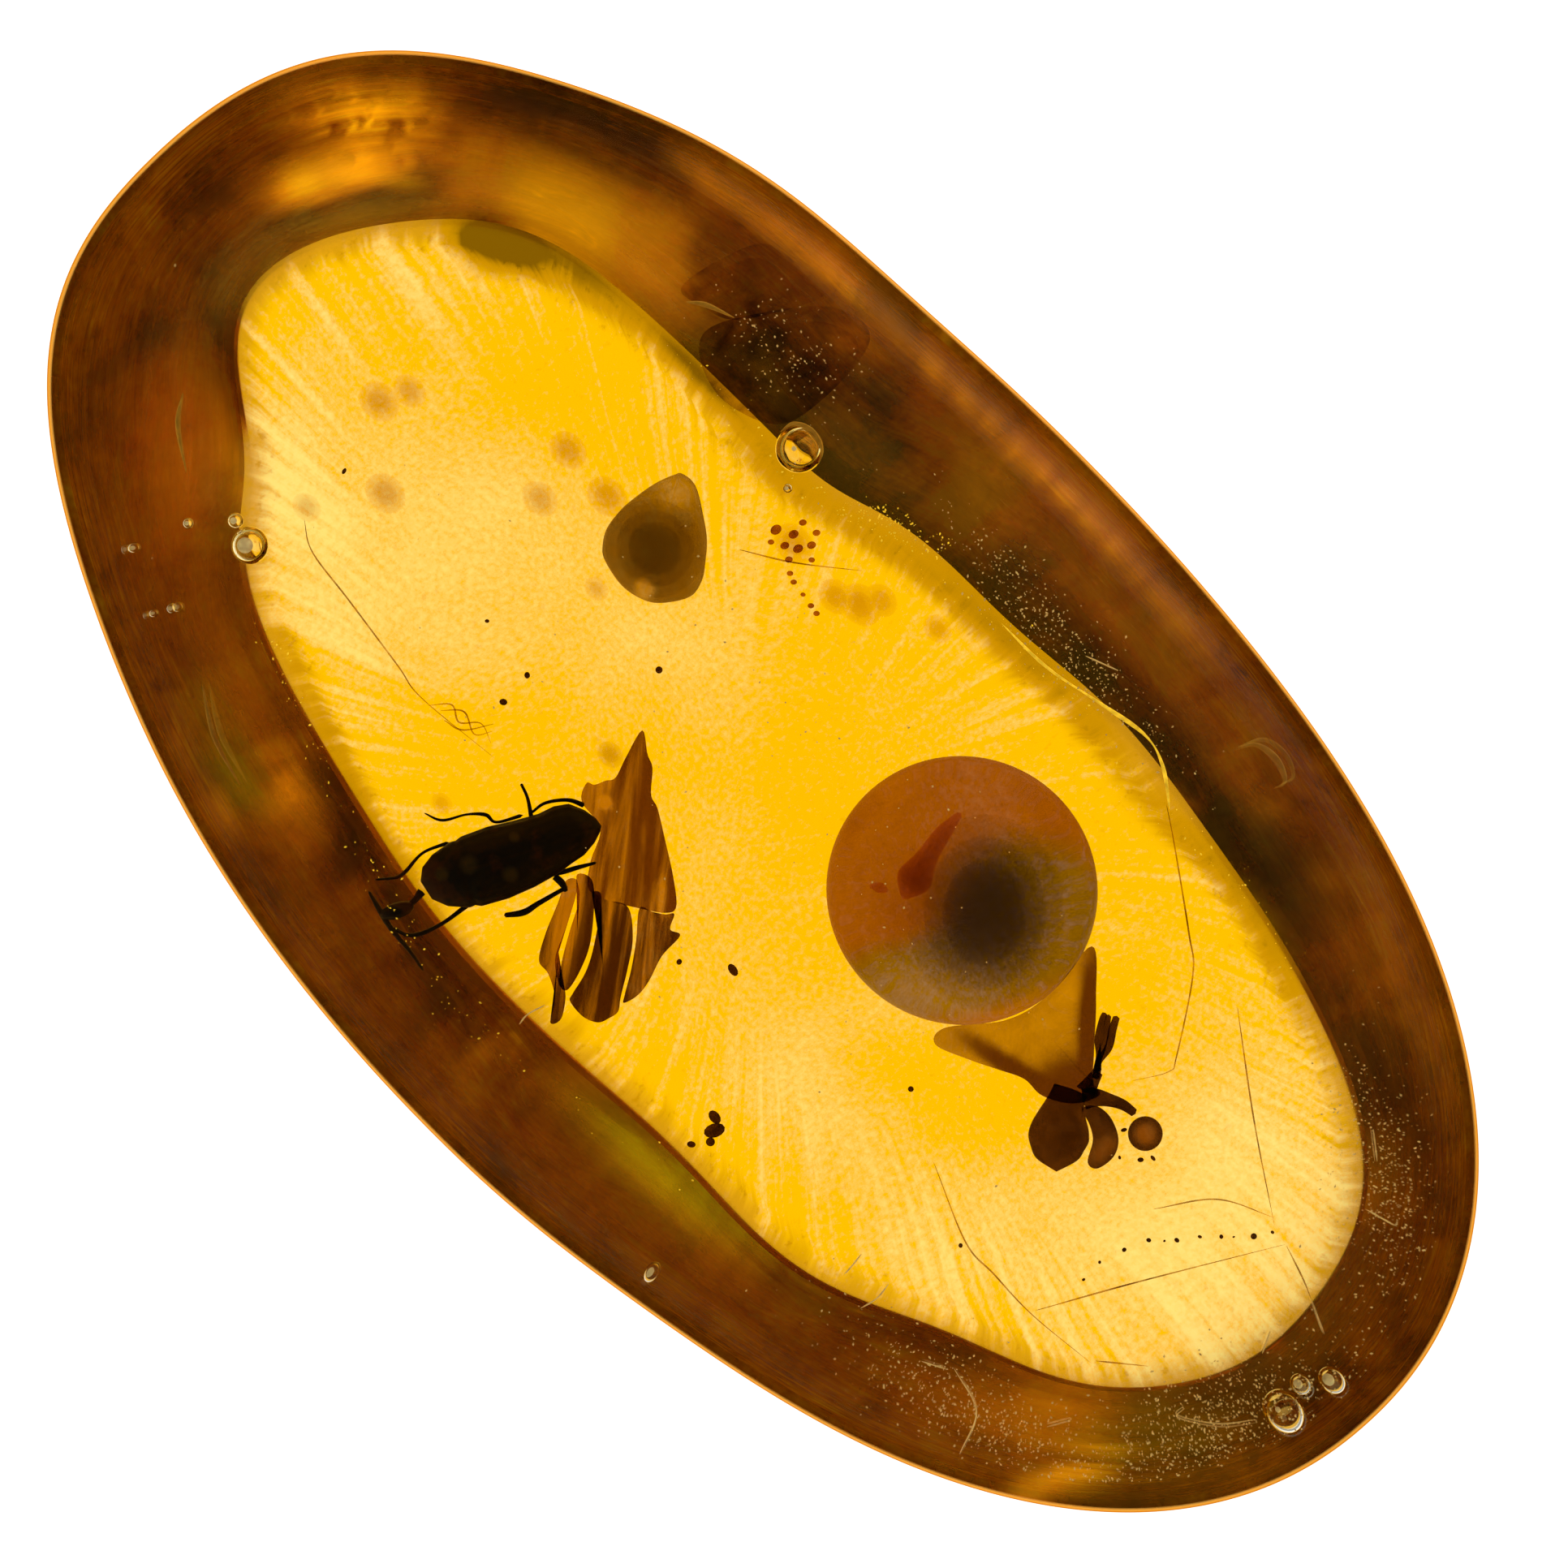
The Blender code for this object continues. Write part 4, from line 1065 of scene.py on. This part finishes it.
trifles = {
    # x, y, radius, as seen from above
    "specks": (
        (1.62, -2.09, 0.085), (3.14, -3.94, 0.15), (3.0, -3.8, 0.09), (3.05, -4.33, 0.06),
        (3.22, -4.1, 0.08), (-3.6, -1.78, 0.05), (-3.64, -1.25, 0.04), (-2.34, 0.21, 0.05),
        (-4.63, -1.12, 0.04), (4.72, -1.42, 0.04), (0.98, -2.58, 0.05), (-7.7, -1.1, 0.04),
        (6.9, -2.5, 0.04), (8.53, -1.54, 0.03), (8.51, -1.19, 0.025), (8.63, -0.8, 0.03),
        (8.78, -0.44, 0.035), (8.95, -0.28, 0.02), (9.07, -0.14, 0.035), (9.27, 0.14, 0.03),
        (9.49, 0.37, 0.035), (9.62, 0.5, 0.02), (9.82, 0.72, 0.04), (9.97, 0.96, 0.03), (7.35, 0.43, 0.04),
        (7.84, 0.3, 0.05), (7.95, 0.45, 0.04), (7.6, 0.1, 0.03)),
    "redSpecks": (
        (-2.63, 2.9, 0.09), (-2.4, 3.04, 0.08), (-2.37, 2.83, 0.07), (-2.2, 2.94, 0.08),
        (-2.18, 2.73, 0.06), (-2.43, 3.26, 0.06), (-2.18, 3.3, 0.06), (-2.1, 3.12, 0.07),
        (-2.55, 2.72, 0.05), (-2.02, 2.6, 0.05), (-1.89, 2.55, 0.05), (-1.66, 2.52, 0.04),
        (-1.46, 2.49, 0.05), (-1.32, 2.47, 0.05), (-1.94, 2.97, 0.05)),
    "blurs": (
        (-1.94, -1.18, 0.22), (-1.3, 2.85, 0.3), (-0.96, 3.03, 0.36), (-0.8, 3.29, 0.28), (0.09, 3.6, 0.24),
        (-8.08, -0.01, 0.34), (-7.88, 0.42, 0.28), (-7.04, -0.89, 0.34), (-7.7, -1.87, 0.24),
        (-5.62, 1.5, 0.32), (-5.39, 0.7, 0.3), (-4.72, 1.44, 0.34), (-3.85, 0.38, 0.2),
        (-3.15, -3.48, 0.18), (-2.3, 2.95, 0.34)),
    "speckLevel": 4.9, "redLevel": 4.3, "blurLevel": 3.4, "blurSizes": (1.0, 0.6), "blurWidth": 0.8,
    "redShape": (1, 0.8, 0.6), "speckLeast": 0.7, "speckRange": 0.6,
    "speckFilm": {
        "dark": (0.02, 0.008, 0.002, 1), "pale": (0.25, 0.1, 0.02, 1), "scale": 6000, "mottle": 1.0,
        "light": 0.2},
    "redFilm": {
        "dark": (0.16, 0.04, 0.005, 1), "pale": (0.62, 0.26, 0.05, 1), "scale": 5000, "mottle": 1.2,
        "light": 0.4},
    "blurFilm": {
        "dark": (1, 1, 1, 1), "pale": (0.9, 0.85, 0.8, 1), "scale": 3000, "mottle": 1.0, "light": 0.3,
        "absorb": ((0.6, 0.35, 0.1, 1), 700.0)},
    "cracks": (
        ((-7.6, -2.02), (-7.17, -2.27), (-6.27, -2.38), (-5.08, -2.53), (-4.48, -2.61), (-3.08, -2.45)),
        ((4.31, 4.24), (4.82, 3.91), (5.92, 3.15), (6.4, 2.77), (7.1, 1.76), (7.19, 1.51), (6.91, 1.02)),
        ((7.2, 2.91), (8.58, 1.92), (9.92, 1.05)),
        ((5.71, -1.92), (6.91, -2.41), (7.55, -2.44), (8.38, -2.45), (9.51, -2.32)),
        ((9.52, -2.25), (10.12, -1.74)), ((10.26, 0.97), (10.77, 0.81), (11.07, 0.69)),
        ((8.36, -2.38), (9.1, -1.01), (10.24, 0.99)), ((8.49, -0.08), (9.05, 0.71), (9.83, 1.13)),
        ((-2.8, 2.3), (-2.1, 2.75), (-1.3, 3.4)),
        ((-4.34, -2.62), (-4.1, -2.36), (-3.84, -2.46), (-3.6, -2.24), (-3.28, -2.34)),
        ((-4.16, -2.54), (-3.9, -2.3), (-3.56, -2.42), (-3.4, -2.2)),
        ((-4.02, -2.6), (-3.72, -2.5), (-3.46, -2.1))),
    "crackWidth": 0.012, "crackShares": (0.3, 1, 1, 0.7, 0.2), "crackHeight": 16.0, "crackLevel": 5.0,
    "crackFilm": {
        "dark": (0.1, 0.04, 0.01, 1), "pale": (0.75, 0.55, 0.3, 1), "scale": 3200, "mottle": 2.2,
        "light": 0.5},
    "glints": (((0.67, 4.34), (1.62, 4.37), (2.56, 4.57), (3.36, 4.72), (3.87, 4.59), (4.43, 4.2)),),
    "hairs": (
        ((11.07, 0.69), (11.37, 0.56), (11.6, 0.46)), ((11.0, -0.08), (11.16, -0.4)),
        ((10.94, -1.78), (10.98, -1.95), (11.5, -1.6), (11.85, -1.15)),
        ((8.13, -3.83), (8.84, -4.05), (9.17, -4.75)), ((9.72, -3.45), (9.9, -3.12)),
        ((7.73, -4.11), (8.06, -3.93)), ((6.54, -4.22), (6.6, -3.94), (6.57, -3.66)),
        ((6.01, -4.04), (6.0, -3.87), (5.97, -3.64)), ((0.0, -4.93), (-0.02, -4.74), (0.06, -4.45)),
        ((1.9, 4.9), (2.4, 5.1)), ((9.9, 3.1), (10.3, 2.8)), ((10.7, 2.2), (11.2, 2.35))),
    # x, y, radius and depth under the dome
    "airBubbles": (
        (-7.88, -2.87, 0.28, 0.35), (-8.29, -2.77, 0.12, 0.3), (-8.75, -3.3, 0.08, 0.3),
        (-9.11, -4.23, 0.08, 0.3), (-8.01, -4.35, 0.08, 0.3), (-8.2, -4.69, 0.06, 0.25),
        (11.98, -0.31, 0.15, 0.3), (12.28, 0.07, 0.19, 0.32), (12.12, -0.78, 0.3, 0.4),
        (4.05, -6.24, 0.11, 0.3), (-3.25, 3.98, 0.36, 0.6), (-2.95, 3.45, 0.07, 0.3)),
    "airFilm": {
        "dark": (0.9, 0.8, 0.5, 1), "pale": (1, 1, 0.9, 1), "scale": 2000, "mottle": 1.0, "light": 0.6,
        "ior": 0.75},
    # the painted light in a bubble: a share of its radius, or this radius in the largest ones
    "airCore": 0.55, "airSquash": 0.9, "airCoreShift": -0.22, "largeAir": 0.3, "largeAirCore": 0.05,
    # bright rims of shell-like marks, drawn as strands that glow: painted light along the rims
    "arcs": (
        ((-3.63, 3.94), (-3.58, 4.18), (-3.32, 4.3), (-3.02, 4.22), (-2.89, 4.03)),
        ((4.43, 5.55), (4.62, 5.93), (4.99, 6.02), (5.32, 5.88), (5.28, 5.65)),
        ((-5.99, 4.28), (-5.74, 4.47), (-5.31, 4.64)), ((-10.2, -2.0), (-9.9, -2.4), (-9.3, -2.8)),
        ((-6.9, -4.8), (-6.2, -5.22), (-5.4, -5.45))),
    # torn brown films beside the window
    "flakes": (
        (
            (-6.18, 4.37), (-6.1, 5.03), (-5.78, 5.74), (-5.03, 5.85), (-4.64, 5.76), (-5.25, 4.67),
            (-5.75, 4.42)),
        (
            (-5.47, 4.15), (-5.2, 4.81), (-4.46, 5.76), (-3.75, 5.92), (-3.54, 5.17), (-3.67, 4.09),
            (-4.42, 3.69), (-5.08, 3.77))),
    "flakeLevel": 5.2, "flakeThickness": 0.08,
    "flakeFilm": {
        "dark": (0.24, 0.15, 0.03, 1), "pale": (0.82, 0.68, 0.32, 1), "scale": 1700, "mottle": 2.8,
        "light": 0.62},
    "sparkPaths": (
        ((-5.2, 3.7), (-3.09, 3.5), (-0.74, 4.0), (1.52, 4.27), (4.27, 4.05), (6.06, 4.15), (7.8, 3.6)),
        ((-2.06, 3.73), (-1.54, 4.07), (-0.65, 4.33)),
        (
            (-6.77, -3.45), (-5.4, -3.95), (-3.65, -4.6), (-2.43, -4.9), (-0.84, -5.25), (0.59, -5.15),
            (3.9, -4.5))),
    "hairWidths": (0.004, 0.012, 0.01, 0.012, 0.004), "hairDepth": 0.08,
    "glintWidths": (0.006, 0.024, 0.014, 0.034, 0.012, 0.03, 0.01), "glintDepth": 0.2,
    "arcWidths": (0.006, 0.03, 0.04, 0.026, 0.006), "arcDepth": 0.3, "strewDepth": 0.06, "strewReach": 0.95,
    "sparks": 380, "sparkSize": (0.005, 0.017), "sparkSpread": 0.12, "dust": 3600,
    "dustSize": (0.006, 0.018),
    # x, y, spread along, spread across, turn, share
    "dustSpots": (
        (11.2, -1.7, 2.4, 0.9, 70, 0.34), (8.6, -4.0, 2.2, 0.7, 12, 0.2), (10.4, 2.6, 2.0, 0.8, -30, 0.16),
        (1.2, 4.7, 2.4, 0.5, 0, 0.12), (-4.3, 4.7, 1.2, 0.8, 10, 0.05), (0.0, 0.0, 7.0, 3.6, 0, 0.04)),
    "glowNoise": (9000, 2), "paleColour": (0.95, 0.64, 0.2, 1), "paleGlow": 0.66,
    "glintColour": (1.0, 0.62, 0.03, 1), "glintGlow": 1.35, "creamColour": (1.0, 0.8, 0.38, 1),
    "creamGlow": 0.62, "arcColour": (0.8, 0.42, 0.04, 1), "arcGlow": 0.3,
}


def paleMaterial(name, colour, glow):
    # matt and a little luminous: its glow is painted light, standing in for light scattered up through the
    # amber
    shop = Shop(name)
    shade = shop.mix(shop.noise(shop.place(), *trifles["glowNoise"]), colour, (0, 0, 0, 1))
    return shop.close(shop.principled(
        Base_Color=colour, Roughness=0.6, Specular_IOR_Level=0.1,
        Emission_Color=shade, Emission_Strength=glow))


def addHairs(name, paths, widths, material, depth):
    # thin strands that follow the dome a little way under it
    shapes = []
    for path in paths:
        flat = smoothPath(path, 30)
        lift = domeHeight(flat[:, 0], flat[:, 1]) - depth
        shapes.append(closedShape(sink(strandGrid(np.column_stack([flat, lift]), widths, 1.0, 6))))
    addPiece(name, *joinShapes(shapes), material)


def strewFlakes(name, places, sizeRange, material):
    # eight-sided flakes of chance size and bearing, just under the dome at the places
    bearing = np.arctan2(places[:, 1], places[:, 0])
    reach = np.interp(bearing, girdleBearing, np.hypot(girdleX, girdleY), period=2 * np.pi)
    places = places[np.hypot(places[:, 0], places[:, 1]) < trifles["strewReach"] * reach]
    count = len(places)
    flake = np.array([(1, 0, 0), (0, 1, 0), (-1, 0, 0), (0, -1, 0), (0, 0, 0.5), (0, 0, -0.5)], float)
    faces = np.array([(0, 1, 4), (1, 2, 4), (2, 3, 4), (3, 0, 4), (1, 0, 5), (2, 1, 5), (3, 2, 5), (0, 3, 5)])
    low, high = sizeRange
    sizes = low + (high - low) * chance.random((count, 1, 1)) ** 2
    lengths = np.stack([1 + chance.random(count), np.ones(count), np.ones(count)], axis=-1)
    stretched = flake * lengths[:, None, :]
    angle = chance.random((count, 1)) * 2 * np.pi
    x = stretched[..., 0] * np.cos(angle) - stretched[..., 1] * np.sin(angle)
    y = stretched[..., 0] * np.sin(angle) + stretched[..., 1] * np.cos(angle)
    lift = domeHeight(places[:, 0], places[:, 1]) - trifles["strewDepth"]
    centres = np.column_stack([places, lift])
    points = centres[:, None, :] + np.stack([x, y, stretched[..., 2]], axis=-1) * sizes
    joined = (faces[None] + 6 * np.arange(count)[:, None, None]).reshape(-1, 3)
    addPiece(name, points.reshape(-1, 3), joined.tolist(), material, smooth=False)


def addDust(material):
    # places strewn in soft patches
    count = trifles["dust"]
    places = np.zeros((count, 2))
    shares = np.array([spot[5] for spot in trifles["dustSpots"]])
    choice = chance.choice(len(shares), count, p=shares / shares.sum())
    for number, (x, y, along, across, turn, _) in enumerate(trifles["dustSpots"]):
        chosen = choice == number
        spread = chance.normal(size=(chosen.sum(), 2)) * (along / 2, across / 2)
        angle = np.radians(turn)
        places[chosen, 0] = x + spread[:, 0] * np.cos(angle) - spread[:, 1] * np.sin(angle)
        places[chosen, 1] = y + spread[:, 0] * np.sin(angle) + spread[:, 1] * np.cos(angle)
    strewFlakes("dust", places, trifles["dustSize"], material)


def addSparks(material):
    # places strewn along the paths
    lines = np.concatenate([smoothPath(path, 300) for path in trifles["sparkPaths"]])
    chosen = lines[chance.integers(0, len(lines), trifles["sparks"])]
    places = chosen + chance.normal(size=chosen.shape) * trifles["sparkSpread"]
    strewFlakes("sparks", places, trifles["sparkSize"], material)


def balls(places, level, shape, rows, around, turn=0):
    # a ball for each x, y and radius, turned by turn times its radius
    return [ballGrid((x, y, level), [radius * share for share in shape], rows, around, turn * radius)
            for x, y, radius in places]


def addSpecks():
    specks = []
    for x, y, radius in trifles["specks"]:
        radii = radius * (trifles["speckLeast"] + trifles["speckRange"] * chance.random(3))
        centre = (x, y, trifles["speckLevel"])
        specks.append(ballGrid(centre, radii, rows=8, around=12, turn=360 * chance.random()))
    addFilm("specks", specks, trifles["speckFilm"])
    reds = balls(trifles["redSpecks"], trifles["redLevel"], trifles["redShape"], 10, 14, turn=900)
    addFilm("redSpecks", reds, trifles["redFilm"])
    for size in trifles["blurSizes"]:
        shape = (size, trifles["blurWidth"] * size, size)
        blurs = balls(trifles["blurs"], trifles["blurLevel"], shape, 14, 20)
        addFilm("blurs" + str(round(size * 100)), blurs, trifles["blurFilm"])


def addCracks():
    # thin upright sheets, as strands many times higher than wide
    widths = [trifles["crackWidth"] * share for share in trifles["crackShares"]]
    cracks = [(path, widths) for path in trifles["cracks"]]
    sheets = strands(cracks, trifles["crackLevel"], trifles["crackHeight"], around=8, count=60)
    addFilm("cracks", sheets, trifles["crackFilm"])


def addAirBubbles():
    # each has a small matt ball in it that glows, painted light for the light that the bubble gathers
    air, cores = [], []
    for x, y, radius, depth in trifles["airBubbles"]:
        lift = domeHeight(x, y) - depth
        radii = (radius, radius, radius * trifles["airSquash"])
        air.append(ballGrid((x, y, lift), radii, rows=20, around=28))
        core = radius * trifles["airCore"] if radius < trifles["largeAir"] else trifles["largeAirCore"]
        shift = trifles["airCoreShift"] * radius
        light = ballGrid((x + shift, y + shift, lift), (core, core, core), rows=12, around=16)
        cores.append(closedShape(sink(light)))
    addFilm("airBubbles", air, trifles["airFilm"])
    cream = paleMaterial("cream", trifles["creamColour"], trifles["creamGlow"])
    addPiece("airBubbleLights", *joinShapes(cores), cream)


def addTrifles():
    addSpecks()
    addCracks()
    addAirBubbles()
    flakes = [lensGrid(smoothLoop(outline, 60), trifles["flakeLevel"], trifles["flakeThickness"])
              for outline in trifles["flakes"]]
    addFilm("flakes", flakes, trifles["flakeFilm"])
    pale = paleMaterial("paleHair", trifles["paleColour"], trifles["paleGlow"])
    glint = paleMaterial("glint", trifles["glintColour"], trifles["glintGlow"])
    arc = paleMaterial("arc", trifles["arcColour"], trifles["arcGlow"])
    addHairs("hairs", trifles["hairs"], trifles["hairWidths"], pale, trifles["hairDepth"])
    addHairs("glintLine", trifles["glints"], trifles["glintWidths"], glint, trifles["glintDepth"])
    addHairs("arcs", trifles["arcs"], trifles["arcWidths"], arc, trifles["arcDepth"])
    addDust(pale)
    addSparks(glint)


addTrifles()
print("trifles made")


# the pale table, the light and the camera

stage = {
    "halfSize": 400.0, "gap": 0.05, "colour": (0.8, 0.8, 0.79, 1), "mottleColour": (0.78, 0.78, 0.77, 1),
    "mottleNoise": (90, 2), "glow": 1.16, "glowInner": 0.017, "glowOuter": 0.036,
    "farGlow": (0.25, 0.25, 0.25, 1), "horizon": (0.12, 0.12, 0.12, 1), "zenith": (0.03, 0.03, 0.03, 1),
    "worldStrength": 1.0,
}


def stageMaterial():
    shop = Shop("table")
    place = shop.place()
    away = shop.distance(place, (0, 0, 0))
    lit = 1 - shop.step(away, stage["glowInner"], stage["glowOuter"])
    colour = shop.mix(shop.noise(place, *stage["mottleNoise"]), stage["colour"], stage["mottleColour"])
    glow = shop.mix(lit, stage["farGlow"], (1, 1, 1, 1))
    shader = shop.principled(
        Base_Color=colour, Roughness=0.7, Specular_IOR_Level=0.2,
        Emission_Color=glow, Emission_Strength=stage["glow"])
    return shop.close(shader)


def addStage():
    # a flat square sheet under the nugget
    half = stage["halfSize"] * mm
    low = -stage["gap"] * mm
    mesh = bpy.data.meshes.new("table")
    mesh.from_pydata([(-half, -half, low), (half, -half, low), (half, half, low), (-half, half, low)],
                     [], [(0, 1, 2, 3)])
    mesh.materials.append(stageMaterial())
    table = bpy.data.objects.new("table", mesh)
    bpy.context.scene.collection.objects.link(table)


def addWorld():
    world = bpy.data.worlds.new("studio")
    world.use_nodes = True
    nodes, links = world.node_tree.nodes, world.node_tree.links
    where = nodes.new("ShaderNodeTexCoord")
    split = nodes.new("ShaderNodeSeparateXYZ")
    ramp = nodes.new("ShaderNodeValToRGB")
    ramp.color_ramp.elements[0].color = stage["horizon"]
    ramp.color_ramp.elements[1].color = stage["zenith"]
    links.new(where.outputs["Generated"], split.inputs[0])
    links.new(split.outputs["Z"], ramp.inputs["Fac"])
    links.new(ramp.outputs["Color"], nodes["Background"].inputs["Color"])
    nodes["Background"].inputs["Strength"].default_value = stage["worldStrength"]
    world.cycles.sampling_method = "NONE"
    bpy.context.scene.world = world


def addCamera():
    lens = bpy.data.cameras.new("camera")
    lens.lens = view["lens"]
    lens.sensor_width = view["sensor"]
    lens.clip_start = 0.005
    camera = bpy.data.objects.new("camera", lens)
    camera.location = (eye * mm).tolist()
    camera.rotation_euler = (0, 0, np.radians(view["turn"]))
    bpy.context.scene.collection.objects.link(camera)
    bpy.context.scene.camera = camera


addStage()
addWorld()
addCamera()
bpy.context.scene.view_settings.view_transform = "Standard"
print("stage made")
